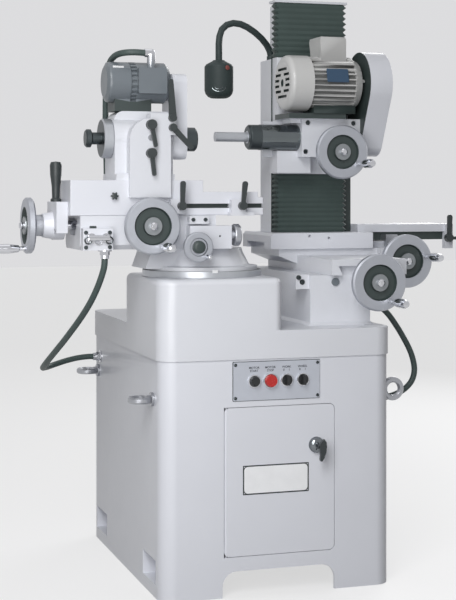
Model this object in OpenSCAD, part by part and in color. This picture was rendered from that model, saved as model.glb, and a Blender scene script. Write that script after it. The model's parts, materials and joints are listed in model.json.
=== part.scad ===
// Tool and cutter grinder: swivelling work table (left) and wheel column (right) on a cabinet stand.
// Millimetres. Origin: middle of the cabinet's footprint on the floor. +X right, +Y back, +Z up.

/* [Cabinet] */
// Width of the cabinet
cabinet_w = 640; // [600:5:700]
// Depth of the cabinet
cabinet_d = 800; // [760:5:860]
// Height of the cabinet
cabinet_h = 615; // [600:5:680]
// Radius of the cabinet's upright corners
cabinet_corner = 45; // [30:1:55]
// Thickness of the cabinet's walls
cabinet_wall = 8; // [6:0.5:10]
// Width of the arch between the feet, front and back
arch_w = 310; // [260:5:340]
// Height of the arch
arch_h = 67; // [50:1:75]
// Radius of the arch's upper corners
arch_corner = 38; // [20:1:45]
// Width of a lifting-bar pocket in the side walls
pocket_w = 134; // [110:1:138]
// Height of a lifting-bar pocket
pocket_h = 64; // [50:1:64]
// Height of a pocket's lower edge above the floor
pocket_z = 33; // [28:1:34]
// Distance of the pockets from the middle of the cabinet
pocket_y = 281; // [270:1:283]
// Side of the square foot pad in each corner
foot_side = 120; // [105:1:135]
// Thickness of the foot pads
foot_t = 14; // [8:1:20]
// Diameter of the anchor holes in the foot pads
anchor_d = 18; // [14:1:22]
// Distance of the anchor holes from the cabinet's sides
anchor_inset = 62; // [55:1:75]

/* [Door and switches] */
// Width of the door
door_w = 304; // [280:1:320]
// Height of the door
door_h = 385; // [340:1:390]
// Height of the door's lower edge above the floor
door_z = 105; // [105:1:112]
// Thickness of the door
door_t = 12; // [10:1:14]
// Gap around the door
door_gap = 1.5; // [1:0.1:3]
// Diameter of the door's hinge pins
hinge_pin_d = 6; // [5:0.5:7]
// Distance of the latch from the door's free edge
latch_inset = 51; // [44:1:60]
// Height of the latch above the door's lower edge
latch_up = 279; // [200:1:300]
// Width of the control panel
panel_w = 239; // [225:1:260]
// Height of the control panel
panel_h = 100; // [80:1:102]
// Thickness of the control panel
panel_t = 3; // [2:0.5:5]
// Distance of the panel's middle below the cabinet's top
panel_drop = 57; // [56:1:62]
// Distance between switch centres
switch_pitch = 44.7; // [42:0.1:48]
// Diameter of the switch holes
switch_hole_d = 22; // [18:0.5:24]

/* [Lifting eyes and glands] */
// Outside diameter of a lifting eye
eye_d = 64; // [58:1:70]
// Bore of a lifting eye
eye_bore = 35; // [30:1:38]
// Distance of the eyes from the middle of the cabinet
eye_y = 323; // [300:1:330]
// Height of the eyes above the floor
eye_z = 511; // [480:1:530]
// Diameter of the flexible conduits
conduit_d = 17; // [14:0.5:20]

/* [Base casting] */
// Height of the band around the top of the cabinet
band_h = 73; // [60:1:85]
// Overhang of the band past the cabinet
band_over = 4; // [2:0.5:8]
// Wall of the base casting
casting_wall = 16; // [12:1:20]
// Width of the raised block
block_w = 334; // [330:1:350]
// Depth of the raised block
block_d = 376; // [360:1:400]
// Height of the raised block above the deck
block_h = 137; // [120:1:150]
// Fillet along the top of the raised block
block_fillet = 16; // [8:1:20]
// Width of the pedestal under the wheel side
pedestal_w = 175; // [160:1:190]
// Depth of the pedestal
pedestal_d = 530; // [480:5:560]
// Height of the pedestal above the deck
pedestal_h = 89; // [80:1:100]

/* [Work side] */
// Diameter of the graduated seat ring
ring_d = 320; // [306:1:324]
// Height of the seat ring
ring_h = 17; // [12:1:20]
// Height of the swivel base
swivel_h = 58; // [50:1:70]
// Diameter of the swivel pivot
swivel_pin_d = 60; // [50:1:70]
// Length of the work saddle
saddle_l = 364; // [340:1:380]
// Depth of the work saddle
saddle_d = 192; // [180:1:200]
// Height of the work saddle
saddle_h = 88; // [80:1:100]
// Length of the work table
table_l = 522; // [500:1:560]
// Depth of the work table
table_d = 246; // [230:1:250]
// Height of the table's rail
table_h = 47; // [44:1:52]
// Height of the raised part of the table above its rail
table_step = 45; // [35:1:50]
// Length of the raised part of the table
table_step_l = 355; // [340:1:365]
// Width of the front groove of the table
groove_w = 10; // [8:0.5:12]
// Depth of the front groove of the table
groove_t = 12; // [8:0.5:14]
// Diameter of the work-side handwheels
work_wheel_d = 146; // [136:1:156]
// Diameter of the fine-feed handwheel
fine_wheel_d = 78; // [70:1:82]
// Diameter of the handwheel shafts
shaft_d = 24; // [20:1:26]
// Height of the work spindle above the raised part of the table
work_axis_up = 110; // [104:1:118]
// Diameter of the work spindle in its bearing
work_spindle_d = 60; // [50:1:64]
// Bore of the work spindle's nose
nose_bore_d = 28; // [24:1:32]
// Height of the work motor's axis above the spindle
work_motor_up = 149; // [145:1:156]
// Diameter of the work motor
work_motor_d = 108; // [100:1:112]
// Width of the head casting's front pillar
pillar_w = 110; // [100:1:116]

/* [Wheel side] */
// Height of the way base above the pedestal
way_h = 46; // [42:1:52]
// Width of the way base
way_w = 270; // [262:1:285]
// Depth of the dovetails
dovetail_h = 25; // [20:1:28]
// Width of the cross dovetail at its foot
cross_dovetail_w = 156; // [140:1:164]
// Running clearance between sliding faces
slide_gap = 0.3; // [0.2:0.05:0.5]
// Running clearance of shafts in their bores
shaft_gap = 0.06; // [0.02:0.01:0.1]
// Width of the wheel saddle's lower block
wheel_saddle_w = 220; // [205:1:230]
// Height of the wheel saddle's lower block
wheel_saddle_h = 42; // [38:1:48]
// Height of the long bed on the wheel saddle
long_bed_h = 20; // [16:1:26]
// Width of the long slide under the column
long_slide_w = 316; // [300:1:330]
// Height of the long slide
long_slide_h = 46; // [42:1:52]
// Width of the column
column_w = 252; // [236:1:260]
// Depth of the column
column_d = 96; // [90:1:120]
// Height of the column's casting above the long slide
column_h = 509; // [480:1:540]
// Height of the way post above the column's casting
post_h = 165; // [140:1:180]
// Wall of the column
column_wall = 18; // [14:1:22]
// Diameter of the wheel-side handwheels
wheel_d = 154; // [146:1:160]
// Height of the wheel spindle above the long slide
wheel_axis_up = 275; // [262:1:290]
// Diameter of the spindle cartridge
cartridge_d = 74; // [66:1:78]
// Diameter of the wheel arbor
arbor_d = 28; // [24:1:30]
// Free length of the wheel arbor
arbor_l = 96; // [80:1:110]
// Height of the wheel motor's axis above the spindle
wheel_motor_up = 155; // [150:1:165]
// Diameter of the wheel motor
wheel_motor_d = 160; // [150:1:164]
// Pleats of the lower bellows
lower_pleats = 12; // [8:1:14]
// Pleats of the upper bellows
upper_pleats = 10; // [7:1:12]
// Depth of a pleat
pleat_t = 9; // [6:0.5:11]

/* [Hidden] */
$fn = 64;

paint = "gainsboro";
bare = "silver";
dark = "darkslategray";

// Clearance of a tongue or pocket that only has to enter
loose = 1;
// Overlap that joins the shapes of one piece
join = 1;

// Heights, from the floor up
z_deck = cabinet_h + band_h;
z_block = z_deck + block_h;
z_ring = z_block + ring_h;
z_saddle = z_ring + swivel_h;
z_table = z_saddle + saddle_h;
z_rail = z_table + table_h;
z_step = z_rail + table_step;
z_work_axis = z_step + work_axis_up;
z_work_motor = z_work_axis + work_motor_up;
z_way = z_deck + pedestal_h;
z_way_top = z_way + way_h;
z_bed = z_way_top + wheel_saddle_h;
z_bed_top = z_bed + long_bed_h;
z_slide_top = z_bed_top + long_slide_h;
z_wheel_axis = z_slide_top + wheel_axis_up;
z_wheel_motor = z_wheel_axis + wheel_motor_up;
z_column_top = z_slide_top + column_h;
z_post_top = z_column_top + post_h;

// Plan of the base casting
band_x = cabinet_w / 2 + band_over;
band_y = cabinet_d / 2 + band_over;
front_y = -cabinet_d / 2;
block_x1 = -band_x + block_w;
block_y1 = -band_y + block_d;
swivel_x = -band_x + block_w / 2;
swivel_y = -band_y + block_d / 2;
// Step of the pedestal in from the band's right side
pedestal_in = 24;
pedestal_x = band_x - pedestal_in - pedestal_w;
// Step of the pedestal back from the band's front
pedestal_back = 104;
pedestal_y = -band_y + pedestal_back;

// Door and its hinge
door_x0 = 2 - door_w / 2;
door_x1 = 2 + door_w / 2;
hinge_x = door_x0 + door_t / 2;
hinge_y = front_y + door_t / 2;
latch_x = door_x1 - latch_inset;
latch_z = door_z + latch_up;
door_corner = 14;
hinge_lug = 18;
panel_x = -7.5;
panel_z = cabinet_h - panel_drop;
switch_x0 = -3.2 - 1.5 * switch_pitch;
floor_t = 5;
pocket_d = 40;

// Plan of the work side
saddle_y0 = swivel_y - saddle_d / 2;
saddle_y1 = swivel_y + saddle_d / 2;
// Reach of the saddle past the swivel's middle, to the right
saddle_right = 11;
saddle_x1 = swivel_x + saddle_right;
saddle_x0 = saddle_x1 - saddle_l;
table_over = 26;
table_x0 = saddle_x0 - table_over;
table_x1 = table_x0 + table_l;
table_y0 = saddle_y0;
table_y1 = table_y0 + table_d;
step_x1 = table_x0 + table_step_l;
table_dovetail_w = 110;
table_dovetail_h = 16;
front_wheel_x = saddle_x0 + 172;
front_wheel_z = z_saddle + 62;
front_boss_l = 36;
screw_z = z_table - 26;
bracket_t = 30;
bracket_boss_l = 26;
bracket_x = table_x0 - bracket_t;
groove_z = z_table + 25;
dog_left = 28;
dog_right = 11;
dog_t = 24;
dog_h = 37;
left_dog_x = table_x0 + 288;
right_dog_x = table_x0 + 454;
feed_box_x0 = saddle_x1 - 82;
feed_box_x1 = saddle_x1 + 31;
feed_box_t = 40;
feed_box_h = 60;
fine_boss_l = 34;
fine_wheel_x = feed_box_x0 + 6;
fine_wheel_z = z_saddle + 8;
knob_y = saddle_y0 - feed_box_t / 2;
knob_z = z_saddle + 36;
switch_box_x = saddle_x0 + 1;
switch_box_w = 78;
switch_box_h = 56;
switch_box_t = 30;
gland_r = 12;

// Work head
head_y = table_y0 + 75;
head_x0 = table_x0 + 122;
head_x1 = step_x1 - 76;
pillar_x = table_x0 + 208;
pillar_y0 = table_y0 - 15;
pillar_t = 40;
pillar_top = z_work_axis + 50;
barrel_r = 53;
pad_z = z_work_axis + 72;
pad_x0 = head_x0 + 6;
// Pivots of the four clamp levers on the head, as x and z
head_levers = [[pillar_x, z_work_axis + 34], [pillar_x, z_work_axis - 40], [head_x1 - 14, z_work_axis + 52],
  [head_x1 - 13, z_work_axis + 27]];
work_motor_y = head_y + 10;
guard_t = 38;
guard_x1 = head_x1 + guard_t;
guard_wall = 3;
work_guard_d = 114;
work_pulley_r = 38;
work_motor_pulley_r = 14;
belt_t = 4;
belt_w = 12;

// Wheel side
cross_x = pedestal_x + 165;
cross_wheel_z = z_way + 29;
cross_boss_l = 46;
way_d = pedestal_d;
wheel_saddle_over = 20;
wheel_saddle_y0 = pedestal_y - wheel_saddle_over;
wheel_saddle_l = 525;
wheel_saddle_y1 = wheel_saddle_y0 + wheel_saddle_l;
bed_y0 = wheel_saddle_y0 + 272;
bed_x0 = cross_x - wheel_saddle_w / 2 - 55;
bed_x1 = cross_x + 270;
bed_dovetail_w = 140;
bed_dovetail_h = 18;
bed_mid_y = (bed_y0 + wheel_saddle_y1) / 2;
apron_t = 27;
apron_w = 120;
long_wheel_x = cross_x + 199;
long_wheel_z = z_bed_top - 36;
long_boss_l = 15;
slide_x0 = cross_x - 194;
slide_x1 = slide_x0 + long_slide_w;
slide_y0 = bed_y0 - 12;
slide_y1 = slide_y0 + 255;
arm_l = 288;
arm_x1 = slide_x1 + arm_l;
arm_y0 = slide_y0 + 80;
arm_d = 110;
arm_top = z_slide_top + 22;
stop_lever_x = arm_x1 - 17;
// Reach of the column to the left of the cross screw
column_left = 152;
column_x0 = cross_x - column_left;
column_x1 = column_x0 + column_w;
column_y0 = slide_y0 + 118;
column_y1 = column_y0 + column_d;
column_mid_x = (column_x0 + column_x1) / 2;
// Height of the carriage's foot above the long slide
carriage_up = 171;
carriage_h = 340;
carriage_z0 = z_slide_top + carriage_up;
carriage_z1 = carriage_z0 + carriage_h;
carriage_t = 38;
bellows_t = 32;
// The bellows end short of the column's right edge
bellows_x1 = column_x1 - 25;
housing_x0 = column_x0 + 47;
housing_w = 180;
housing_x1 = housing_x0 + housing_w;
housing_y0 = column_y0 - 133;
wheel_axis_y = column_y0 - 88;
housing_z0 = z_wheel_axis - 56;
housing_z1 = z_wheel_axis + 54;
// Reach of the cartridge to the left of its housing
cartridge_reach = 151;
cartridge_x0 = housing_x0 - cartridge_reach;
vertical_wheel_x = housing_x0 + 99;
vertical_wheel_z = z_wheel_axis - 43;
vertical_boss_l = 22;
wheel_motor_y = column_y0 - slide_gap - carriage_t - wheel_motor_d / 2 - loose;
wheel_motor_x0 = housing_x0 - 55;
wheel_motor_x1 = housing_x1 - 14;
motor_plate_t = 14;
wheel_guard_x0 = housing_x1;
wheel_guard_t = 68;
wheel_pulley_r = 40;
wheel_motor_pulley_r = 60;
lamp_x = column_x0 + 13;
lamp_y = column_y0 + 40;
screw_d = 24;

// Ports of the conduits: where each leaves one piece and enters the next
elbow_x = head_x1 - 58;
elbow_l = 18;
left_start = [switch_box_x + 60, saddle_y0 - 13, z_saddle - 22];
left_end = [-cabinet_w / 2 - 25, cabinet_d / 2 - 105, cabinet_h - 59];
right_start = [pedestal_x + pedestal_w + 25, pedestal_y + 100, z_deck + 57];
right_end = [cabinet_w / 2 + 27, pedestal_y + 100, cabinet_h - 148];
motor_start = [elbow_x - elbow_l, work_motor_y - work_motor_d / 2 - 1, z_work_motor + 75];
motor_end = [head_x0 + 20, head_y + 132, z_step + 18];

// A hand-chosen route, shifted along its length so that it runs from port to port
function between(route, start, end) = let (n = len(route) - 1)
  [for (i = [0 : n]) route[i] + (1 - i / n) * (start - route[0]) + i / n * (end - route[n])];

left_route = between([[-449, -325, 878], [-450, -321, 855], [-455, -309, 828], [-462, -290, 798],
  [-471, -264, 766], [-481, -231, 735], [-492, -192, 704], [-503, -149, 674], [-513, -103, 645],
  [-522, -55, 618], [-528, -5, 594], [-531, 46, 573], [-529, 97, 557], [-523, 147, 546], [-511, 193, 540],
  [-491, 233, 538], [-463, 264, 541], [-430, 284, 547], [-395, 293, 553], [-363, 295, 556],
  [-345, 295, 556]], left_start, left_end);
right_route = between([[325, -200, 745], [345, -200, 741], [370, -200, 728], [397, -200, 705],
  [423, -200, 671], [446, -200, 635], [465, -200, 600], [476, -200, 568], [479, -200, 540],
  [472, -200, 515], [456, -200, 496], [434, -200, 482], [408, -200, 473], [378, -200, 468],
  [347, -200, 467]], right_start, right_end);
motor_route = between([[-333, -282, 1414], [-352, -281, 1415], [-371, -276, 1415], [-386, -264, 1414],
  [-395, -245, 1412], [-400, -222, 1408], [-404, -196, 1398], [-406, -172, 1378], [-405, -152, 1346],
  [-404, -138, 1304], [-402, -127, 1258], [-400, -118, 1212], [-397, -111, 1168], [-395, -107, 1130],
  [-394, -105, 1098]], motor_start, motor_end);

// Shapes that repeat

module span(low, high) { translate(low) cube(high - low); }

module toward_x(p) { translate(p) rotate([0, 90, 0]) children(); }
module toward_left(p) { translate(p) rotate([0, -90, 0]) children(); }
module toward_front(p) { translate(p) rotate([90, 0, 0]) children(); }

// A plate outline with round corners, its middle at the origin
module rounded(w, d, r) {
  square([w - 2 * r, d], center = true);
  square([w, d - 2 * r], center = true);
  for (x = [-1, 1], y = [-1, 1]) translate([x * (w / 2 - r), y * (d / 2 - r)]) circle(r);
}

module rounded_prism(w, d, h, r) { linear_extrude(h) rounded(w, d, r); }

// Outline of a belt run or guard round two circles
module loop_outline(r1, r2, dy, dz) {
  hull() {
    circle(r1, $fn = 48);
    translate([dy, dz]) circle(r2, $fn = 48);
  }
}

// A handwheel with its dial, shaft and handle. It points up, with its bearing face at the origin.
module handwheel(d, shaft_l, handle_turn, shaft = shaft_d) {
  r = d / 2;
  rim_back = 26;
  rim_face = 46;
  dish_r = 47;
  hub_r = 24;
  handle_r = r - 13;
  rotate_extrude()
    polygon([[0, -shaft_l], [shaft / 2, -shaft_l], [shaft / 2, slide_gap], [28, slide_gap], [28, 18],
      [20, 20], [20, 29], [dish_r, 29], [dish_r + 8, rim_back], [r - 4, rim_back], [r, rim_back + 4],
      [r, rim_face - 4], [r - 4, rim_face], [dish_r + 2, rim_face], [dish_r - 2, rim_face - 9],
      [hub_r + 1, rim_face - 9], [hub_r - 1, rim_face + 2], [10, rim_face + 2], [10, rim_face + 10],
      [6, rim_face + 14], [0, rim_face + 14]]);
  rotate([0, 0, handle_turn]) translate([handle_r, 0, rim_face - join]) rotate_extrude()
    polygon([[0, 0], [6, 0], [6, 14], [9, 16], [13, 42], [12.5, 76], [9, 88], [0, 90]]);
}

// A clamp lever. It points up from its seat, with the arm along +X.
module clamp_lever(hub_r, hub_l, arm_l, root_w, tip_w, stud_r, stud_l) {
  arm_t = hub_l * 0.45;
  translate([0, 0, -stud_l]) cylinder(r = stud_r, h = stud_l + join);
  translate([0, 0, slide_gap]) cylinder(r = hub_r, h = hub_l - slide_gap);
  translate([0, 0, hub_l * 0.35]) linear_extrude(arm_t) {
    polygon([[0, -root_w / 2], [arm_l, -tip_w / 2], [arm_l, tip_w / 2], [0, root_w / 2]]);
    translate([arm_l, 0]) circle(tip_w / 2);
  }
}

// A conduit gland with its flange on the seat, pointing up
module gland(length) {
  cylinder(r = gland_r + 6, h = 4);
  cylinder(r = gland_r + 1, h = length * 0.6, $fn = 6);
  cylinder(r = gland_r - 1, h = length);
}

function unit(v) = v / norm(v);
function along(route, i) =
  unit(route[min(i + 1, len(route) - 1)] - route[max(i - 1, 0)]);
function ring_points(p, t, r, sides) =
  let (side = unit(cross(t, [1, -1, 0.3])), up = cross(side, t))
  [for (k = [0 : sides - 1]) p + r * (cos(360 * k / sides) * side + sin(360 * k / sides) * up)];

// A tube with a ring of sides at each point of its route. The first and last rings are square to
// given directions.
module tube(route, d, first, last) {
  sides = 10;
  n = len(route);
  points = [for (i = [0 : n - 1])
    each ring_points(route[i], i == 0 ? first : i == n - 1 ? last : along(route, i), d / 2, sides)];
  walls = [for (i = [0 : n - 2], k = [0 : sides - 1])
    let (a = i * sides + k, b = i * sides + (k + 1) % sides)
      each [[a, b, b + sides], [a, b + sides, a + sides]]];
  start = [for (k = [0 : sides - 1]) sides - 1 - k];
  end = [for (k = [0 : sides - 1]) (n - 1) * sides + k];
  polyhedron(points, concat(walls, [start, end]));
}

// A pleated block: saw-tooth prisms crossed, so that the pleats turn its corners
module pleated(x0, x1, y0, y1, z0, z1, pleats) {
  pitch = (z1 - z0) / pleats;
  front_t = pleat_t * 0.45;
  function teeth(low, step) = [for (i = [0 : 2 * pleats]) [low + (i % 2) * step, z0 + i * pitch / 2]];
  function back(list) = [for (i = [len(list) - 1 : -1 : 0]) list[i]];
  intersection() {
    translate([x0, 0, 0]) rotate([90, 0, 90]) linear_extrude(x1 - x0)
      polygon(concat(teeth(y0 + front_t, -front_t), [[y1, z1], [y1, z0]]));
    translate([0, y1, 0]) rotate([90, 0, 0]) linear_extrude(y1 - y0)
      polygon(concat(teeth(x0 + pleat_t, -pleat_t), back(teeth(x1 - pleat_t, pleat_t))));
  }
}

// A dovetail along +X, foot on the origin
module dovetail(length, foot_w, h, flare) {
  rotate([90, 0, 90]) linear_extrude(length)
    polygon([[-foot_w / 2, 0], [foot_w / 2, 0], [foot_w / 2 + flare, h], [-foot_w / 2 - flare, h]]);
}

// Stand

module cabinet() {
  inner_w = cabinet_w - 2 * cabinet_wall;
  inner_d = cabinet_d - 2 * cabinet_wall;
  inner_r = cabinet_corner - cabinet_wall;
  flange = 24;
  flange_t = 6;
  color(paint) difference() {
    union() {
      difference() {
        rounded_prism(cabinet_w, cabinet_d, cabinet_h, cabinet_corner);
        translate([0, 0, -join]) rounded_prism(inner_w, inner_d, cabinet_h + 2 * join, inner_r);
      }
      translate([0, 0, door_z - door_gap - floor_t]) rounded_prism(inner_w, inner_d, floor_t, inner_r);
      translate([0, 0, cabinet_h - flange_t]) difference() {
        rounded_prism(inner_w, inner_d, flange_t, inner_r);
        translate([0, 0, -join])
          rounded_prism(inner_w - 2 * flange, inner_d - 2 * flange, flange_t + 2 * join, inner_r);
      }
      intersection() {
        rounded_prism(inner_w, inner_d, foot_t, inner_r);
        for (x = [-1, 1], y = [-1, 1])
          translate([x * (cabinet_w - foot_side) / 2, y * (cabinet_d - foot_side) / 2, foot_t / 2])
            cube([foot_side, foot_side, foot_t], center = true);
      }
      for (z = [door_z - door_gap - hinge_lug, door_z + door_h + door_gap])
        span([hinge_x - 12, front_y + join, z], [hinge_x + 12, hinge_y + 10, z + hinge_lug]);
      // Closed boxes behind the lifting-bar pockets
      for (side = [0, 1], y = [-pocket_y, pocket_y]) mirror([side, 0, 0])
        span([-cabinet_w / 2 + cabinet_wall / 2, y - pocket_w / 2 - floor_t, pocket_z - floor_t],
          [-cabinet_w / 2 + pocket_d + floor_t, y + pocket_w / 2 + floor_t, pocket_z + pocket_h + floor_t]);
    }
    translate([0, cabinet_d / 2 + join, 0]) rotate([90, 0, 0])
      rounded_prism(arch_w, 2 * arch_h, cabinet_d + 2 * join, arch_corner);
    for (side = [0, 1], y = [-pocket_y, pocket_y]) mirror([side, 0, 0])
      span([-cabinet_w, y - pocket_w / 2, pocket_z],
        [-cabinet_w / 2 + pocket_d, y + pocket_w / 2, pocket_z + pocket_h]);
    translate([2, front_y + cabinet_wall + join, door_z + door_h / 2]) rotate([90, 0, 0])
      rounded_prism(door_w + 2 * door_gap, door_h + 2 * door_gap, cabinet_wall + 2 * join,
        door_corner + door_gap);
    span([hinge_x - door_t / 2 - door_gap, front_y - join, door_z - door_gap],
      [hinge_x + 20, hinge_y + 14, door_z + door_h + door_gap]);
    translate([hinge_x, hinge_y, door_z - door_gap - hinge_lug - join])
      cylinder(d = hinge_pin_d + 2 * shaft_gap, h = door_h + 2 * hinge_lug + 2 * door_gap + 2 * join);
    for (i = [0 : 3]) toward_front([switch_x0 + i * switch_pitch, front_y + cabinet_wall + join, panel_z])
      cylinder(d = switch_hole_d + 2 * loose, h = cabinet_wall + 2 * join);
    for (x = [-1, 1], y = [-1, 1])
      translate([x * (cabinet_w / 2 - anchor_inset), y * (cabinet_d / 2 - anchor_inset), -join])
        cylinder(d = anchor_d, h = foot_t + 2 * join);
  }
}

// One upright corner of the raised block, rounded over at the top
module block_corner(x, y, r) {
  translate([x, y, 0]) {
    translate([0, 0, z_deck - join]) cylinder(r = r, h = block_h - block_fillet + join, $fn = 32);
    translate([0, 0, z_block - block_fillet]) rotate_extrude($fn = 32) intersection() {
      translate([r - block_fillet, 0]) circle(block_fillet, $fn = 32);
      square([r, block_fillet]);
    }
  }
}

module base_casting() {
  band_r = cabinet_corner + band_over;
  small_r = 22;
  foot_flare = 8;
  pedestal_x1 = pedestal_x + pedestal_w;
  pedestal_y1 = pedestal_y + pedestal_d;
  color(paint) difference() {
    union() {
      translate([0, 0, cabinet_h]) rounded_prism(2 * band_x, 2 * band_y, band_h, band_r);
      hull() {
        block_corner(-band_x + band_r, -band_y + band_r, band_r);
        block_corner(block_x1 - small_r, -band_y + small_r, small_r);
        block_corner(block_x1 - small_r, block_y1 - small_r, small_r);
        block_corner(-band_x + small_r, block_y1 - small_r, small_r);
      }
      span([pedestal_x, pedestal_y, z_deck - join], [pedestal_x1, pedestal_y1, z_way]);
      hull() {
        span([pedestal_x - foot_flare, pedestal_y - foot_flare, z_deck - join],
          [pedestal_x1 + foot_flare, pedestal_y1 + foot_flare, z_deck + 1]);
        span([pedestal_x, pedestal_y, z_deck], [pedestal_x1, pedestal_y1, z_deck + foot_flare]);
      }
    }
    translate([0, 0, cabinet_h - join])
      rounded_prism(2 * (band_x - casting_wall), 2 * (band_y - casting_wall),
      band_h - casting_wall + join, band_r - casting_wall);
    span([-band_x + casting_wall + 12, -band_y + casting_wall + 12, cabinet_h],
      [block_x1 - casting_wall, block_y1 - casting_wall, z_block - casting_wall - 12]);
    span([pedestal_x + casting_wall, pedestal_y + casting_wall, cabinet_h],
      [pedestal_x1 - casting_wall, pedestal_y1 - casting_wall, z_way - casting_wall]);
    translate([swivel_x, swivel_y, z_deck]) cylinder(d = swivel_pin_d + 2 * shaft_gap, h = block_h + join);
  }
}

module swivel_seat_ring() {
  ring_wall = 60;
  color(bare) translate([swivel_x, swivel_y, z_block]) difference() {
    cylinder(d = ring_d, h = ring_h, $fn = 96);
    translate([0, 0, -join]) cylinder(d = ring_d - 2 * ring_wall, h = ring_h + 2 * join, $fn = 96);
  }
}

module control_panel() {
  color(bare) translate([panel_x, front_y, panel_z]) rotate([90, 0, 0]) linear_extrude(panel_t)
    difference() {
    rounded(panel_w, panel_h, 3);
    for (i = [0 : 3]) translate([switch_x0 + i * switch_pitch - panel_x, 0]) circle(d = switch_hole_d);
  }
}

module electrical_plate() {
  plate_w = 380;
  plate_h = 320;
  plate_t = 3;
  stand_off = 12;
  plate_y = cabinet_d / 2 - cabinet_wall - stand_off;
  plate_z = door_z + 60;
  color("lightgray") {
    span([-plate_w / 2, plate_y - plate_t, plate_z], [plate_w / 2, plate_y, plate_z + plate_h]);
    for (x = [-1, 1], z = [20, plate_h - 20])
      toward_front([x * (plate_w / 2 - 20), plate_y + stand_off, plate_z + z])
        cylinder(d = 12, h = stand_off + 1);
    // Contactors, a transformer and a terminal rail
    for (i = [0 : 3]) span([-150 + i * 55, plate_y - plate_t - 70, plate_z + 190],
      [-105 + i * 55, plate_y - plate_t + join, plate_z + 270]);
    span([80, plate_y - plate_t - 80, plate_z + 180], [165, plate_y - plate_t + join, plate_z + 275]);
    span([-160, plate_y - plate_t - 40, plate_z + 60], [160, plate_y - plate_t + join, plate_z + 100]);
  }
}

// A lifting eye: collar on the seat, ring standing out along its axis
module lifting_eye() {
  collar_t = 8;
  reach = collar_t + eye_d / 2 - 4;
  half_t = 8;
  bore_half = 5;
  cylinder(d = 36, h = collar_t);
  cylinder(d = 22, h = reach - eye_bore / 2 - 2);
  translate([0, 0, reach]) rotate([90, 0, 0]) rotate_extrude()
    polygon([[eye_bore / 2, -bore_half], [eye_bore / 2 + 3, -half_t], [eye_d / 2 - 4, -half_t],
      [eye_d / 2, -half_t + 4], [eye_d / 2, half_t - 4], [eye_d / 2 - 4, half_t],
      [eye_bore / 2 + 3, half_t], [eye_bore / 2, bore_half]]);
}

module lifting_eyes() {
  color(bare) {
    for (y = [-eye_y, eye_y]) translate([-cabinet_w / 2, y, eye_z]) rotate([0, -90, 0]) rotate([0, 0, 90])
      lifting_eye();
    for (y = [-eye_y, eye_y]) toward_x([cabinet_w / 2, y, eye_z]) lifting_eye();
  }
}

module door_hinge_pins() {
  pin_l = 30;
  color(bare) for (z = [door_z - door_gap - hinge_lug + 2,
    door_z + door_h + door_gap + hinge_lug - 2 - pin_l])
    translate([hinge_x, hinge_y, z]) cylinder(d = hinge_pin_d, h = pin_l);
}

module conduit_glands() {
  color(bare) {
    toward_left([-cabinet_w / 2, left_end.y, left_end.z]) gland(-left_end.x - cabinet_w / 2);
    toward_x([cabinet_w / 2, right_end.y, right_end.z]) gland(right_end.x - cabinet_w / 2);
    toward_x([pedestal_x + pedestal_w, right_start.y, right_start.z])
      gland(right_start.x - pedestal_x - pedestal_w);
  }
}

module left_conduit() { color(dark) tube(left_route, conduit_d, [0, 0, -1], [1, 0, 0]); }

module right_conduit() { color(dark) tube(right_route, conduit_d, [1, 0, 0], [-1, 0, 0]); }

module door() {
  skin = 3;
  color(paint) difference() {
    union() {
      translate([2, front_y + door_t, door_z + door_h / 2]) rotate([90, 0, 0]) difference() {
        rounded_prism(door_w, door_h, door_t, door_corner);
        translate([0, 0, -join])
          rounded_prism(door_w - 40, door_h - 40, door_t - skin + join, door_corner);
      }
      translate([hinge_x, hinge_y, door_z + door_corner]) cylinder(d = door_t, h = door_h - 2 * door_corner);
      toward_front([latch_x, front_y + door_t, latch_z]) cylinder(r = 16, h = door_t);
    }
    // The hinge edge is round about the pins
    difference() {
      span([door_x0 - join, front_y - join, door_z - join],
        [hinge_x, front_y + door_t + join, door_z + door_h + join]);
      translate([hinge_x, hinge_y, door_z - 2 * join]) cylinder(d = door_t, h = door_h + 4 * join);
    }
    translate([hinge_x, hinge_y, door_z - join])
      cylinder(d = hinge_pin_d + 2 * shaft_gap, h = door_h + 2 * join);
    toward_front([latch_x, front_y + door_t + join, latch_z])
      cylinder(r = 6 + shaft_gap, h = door_t + 2 * join);
  }
}

module door_handle() {
  spindle_r = 6;
  tongue_l = 62;
  grip_out = 36;
  color(dark) toward_front([latch_x, front_y, latch_z]) {
    // Domed rose and neck on the spindle
    rotate_extrude()
      polygon([[0, -door_t - 6], [spindle_r, -door_t - 6], [spindle_r, slide_gap], [21, slide_gap],
        [21, 5], [19, 10], [14, 14], [8, 16], [8, grip_out + 5], [0, grip_out + 5]]);
    // Curved grip that hangs from the neck
    translate([0, 0, grip_out]) linear_extrude(10)
      polygon([[2, 17], [7, 20], [12, 12], [13, 0], [11, -14], [6, -28], [1, -36], [-3, -37], [-5, -33],
        [-4, -20], [-7, -6], [-6, 8]]);
    // Latch tongue behind the door
    translate([0, 0, -door_t - 4]) linear_extrude(3)
      polygon([[-10, 4], [-8, -tongue_l], [8, -tongue_l], [10, 4]]);
  }
}

// A push button head with its stem in the panel's hole
module push_button(i, head_r) {
  toward_front([switch_x0 + i * switch_pitch, front_y, panel_z]) {
    translate([0, 0, panel_t + 5]) cylinder(r1 = head_r, r2 = head_r - 2, h = 9);
    translate([0, 0, -26]) cylinder(d = switch_hole_d - 0.6, h = panel_t + 32);
  }
}

module start_button() { color("dimgray") push_button(0, 14); }

module stop_button() { color("red") push_button(1, 17); }

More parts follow.
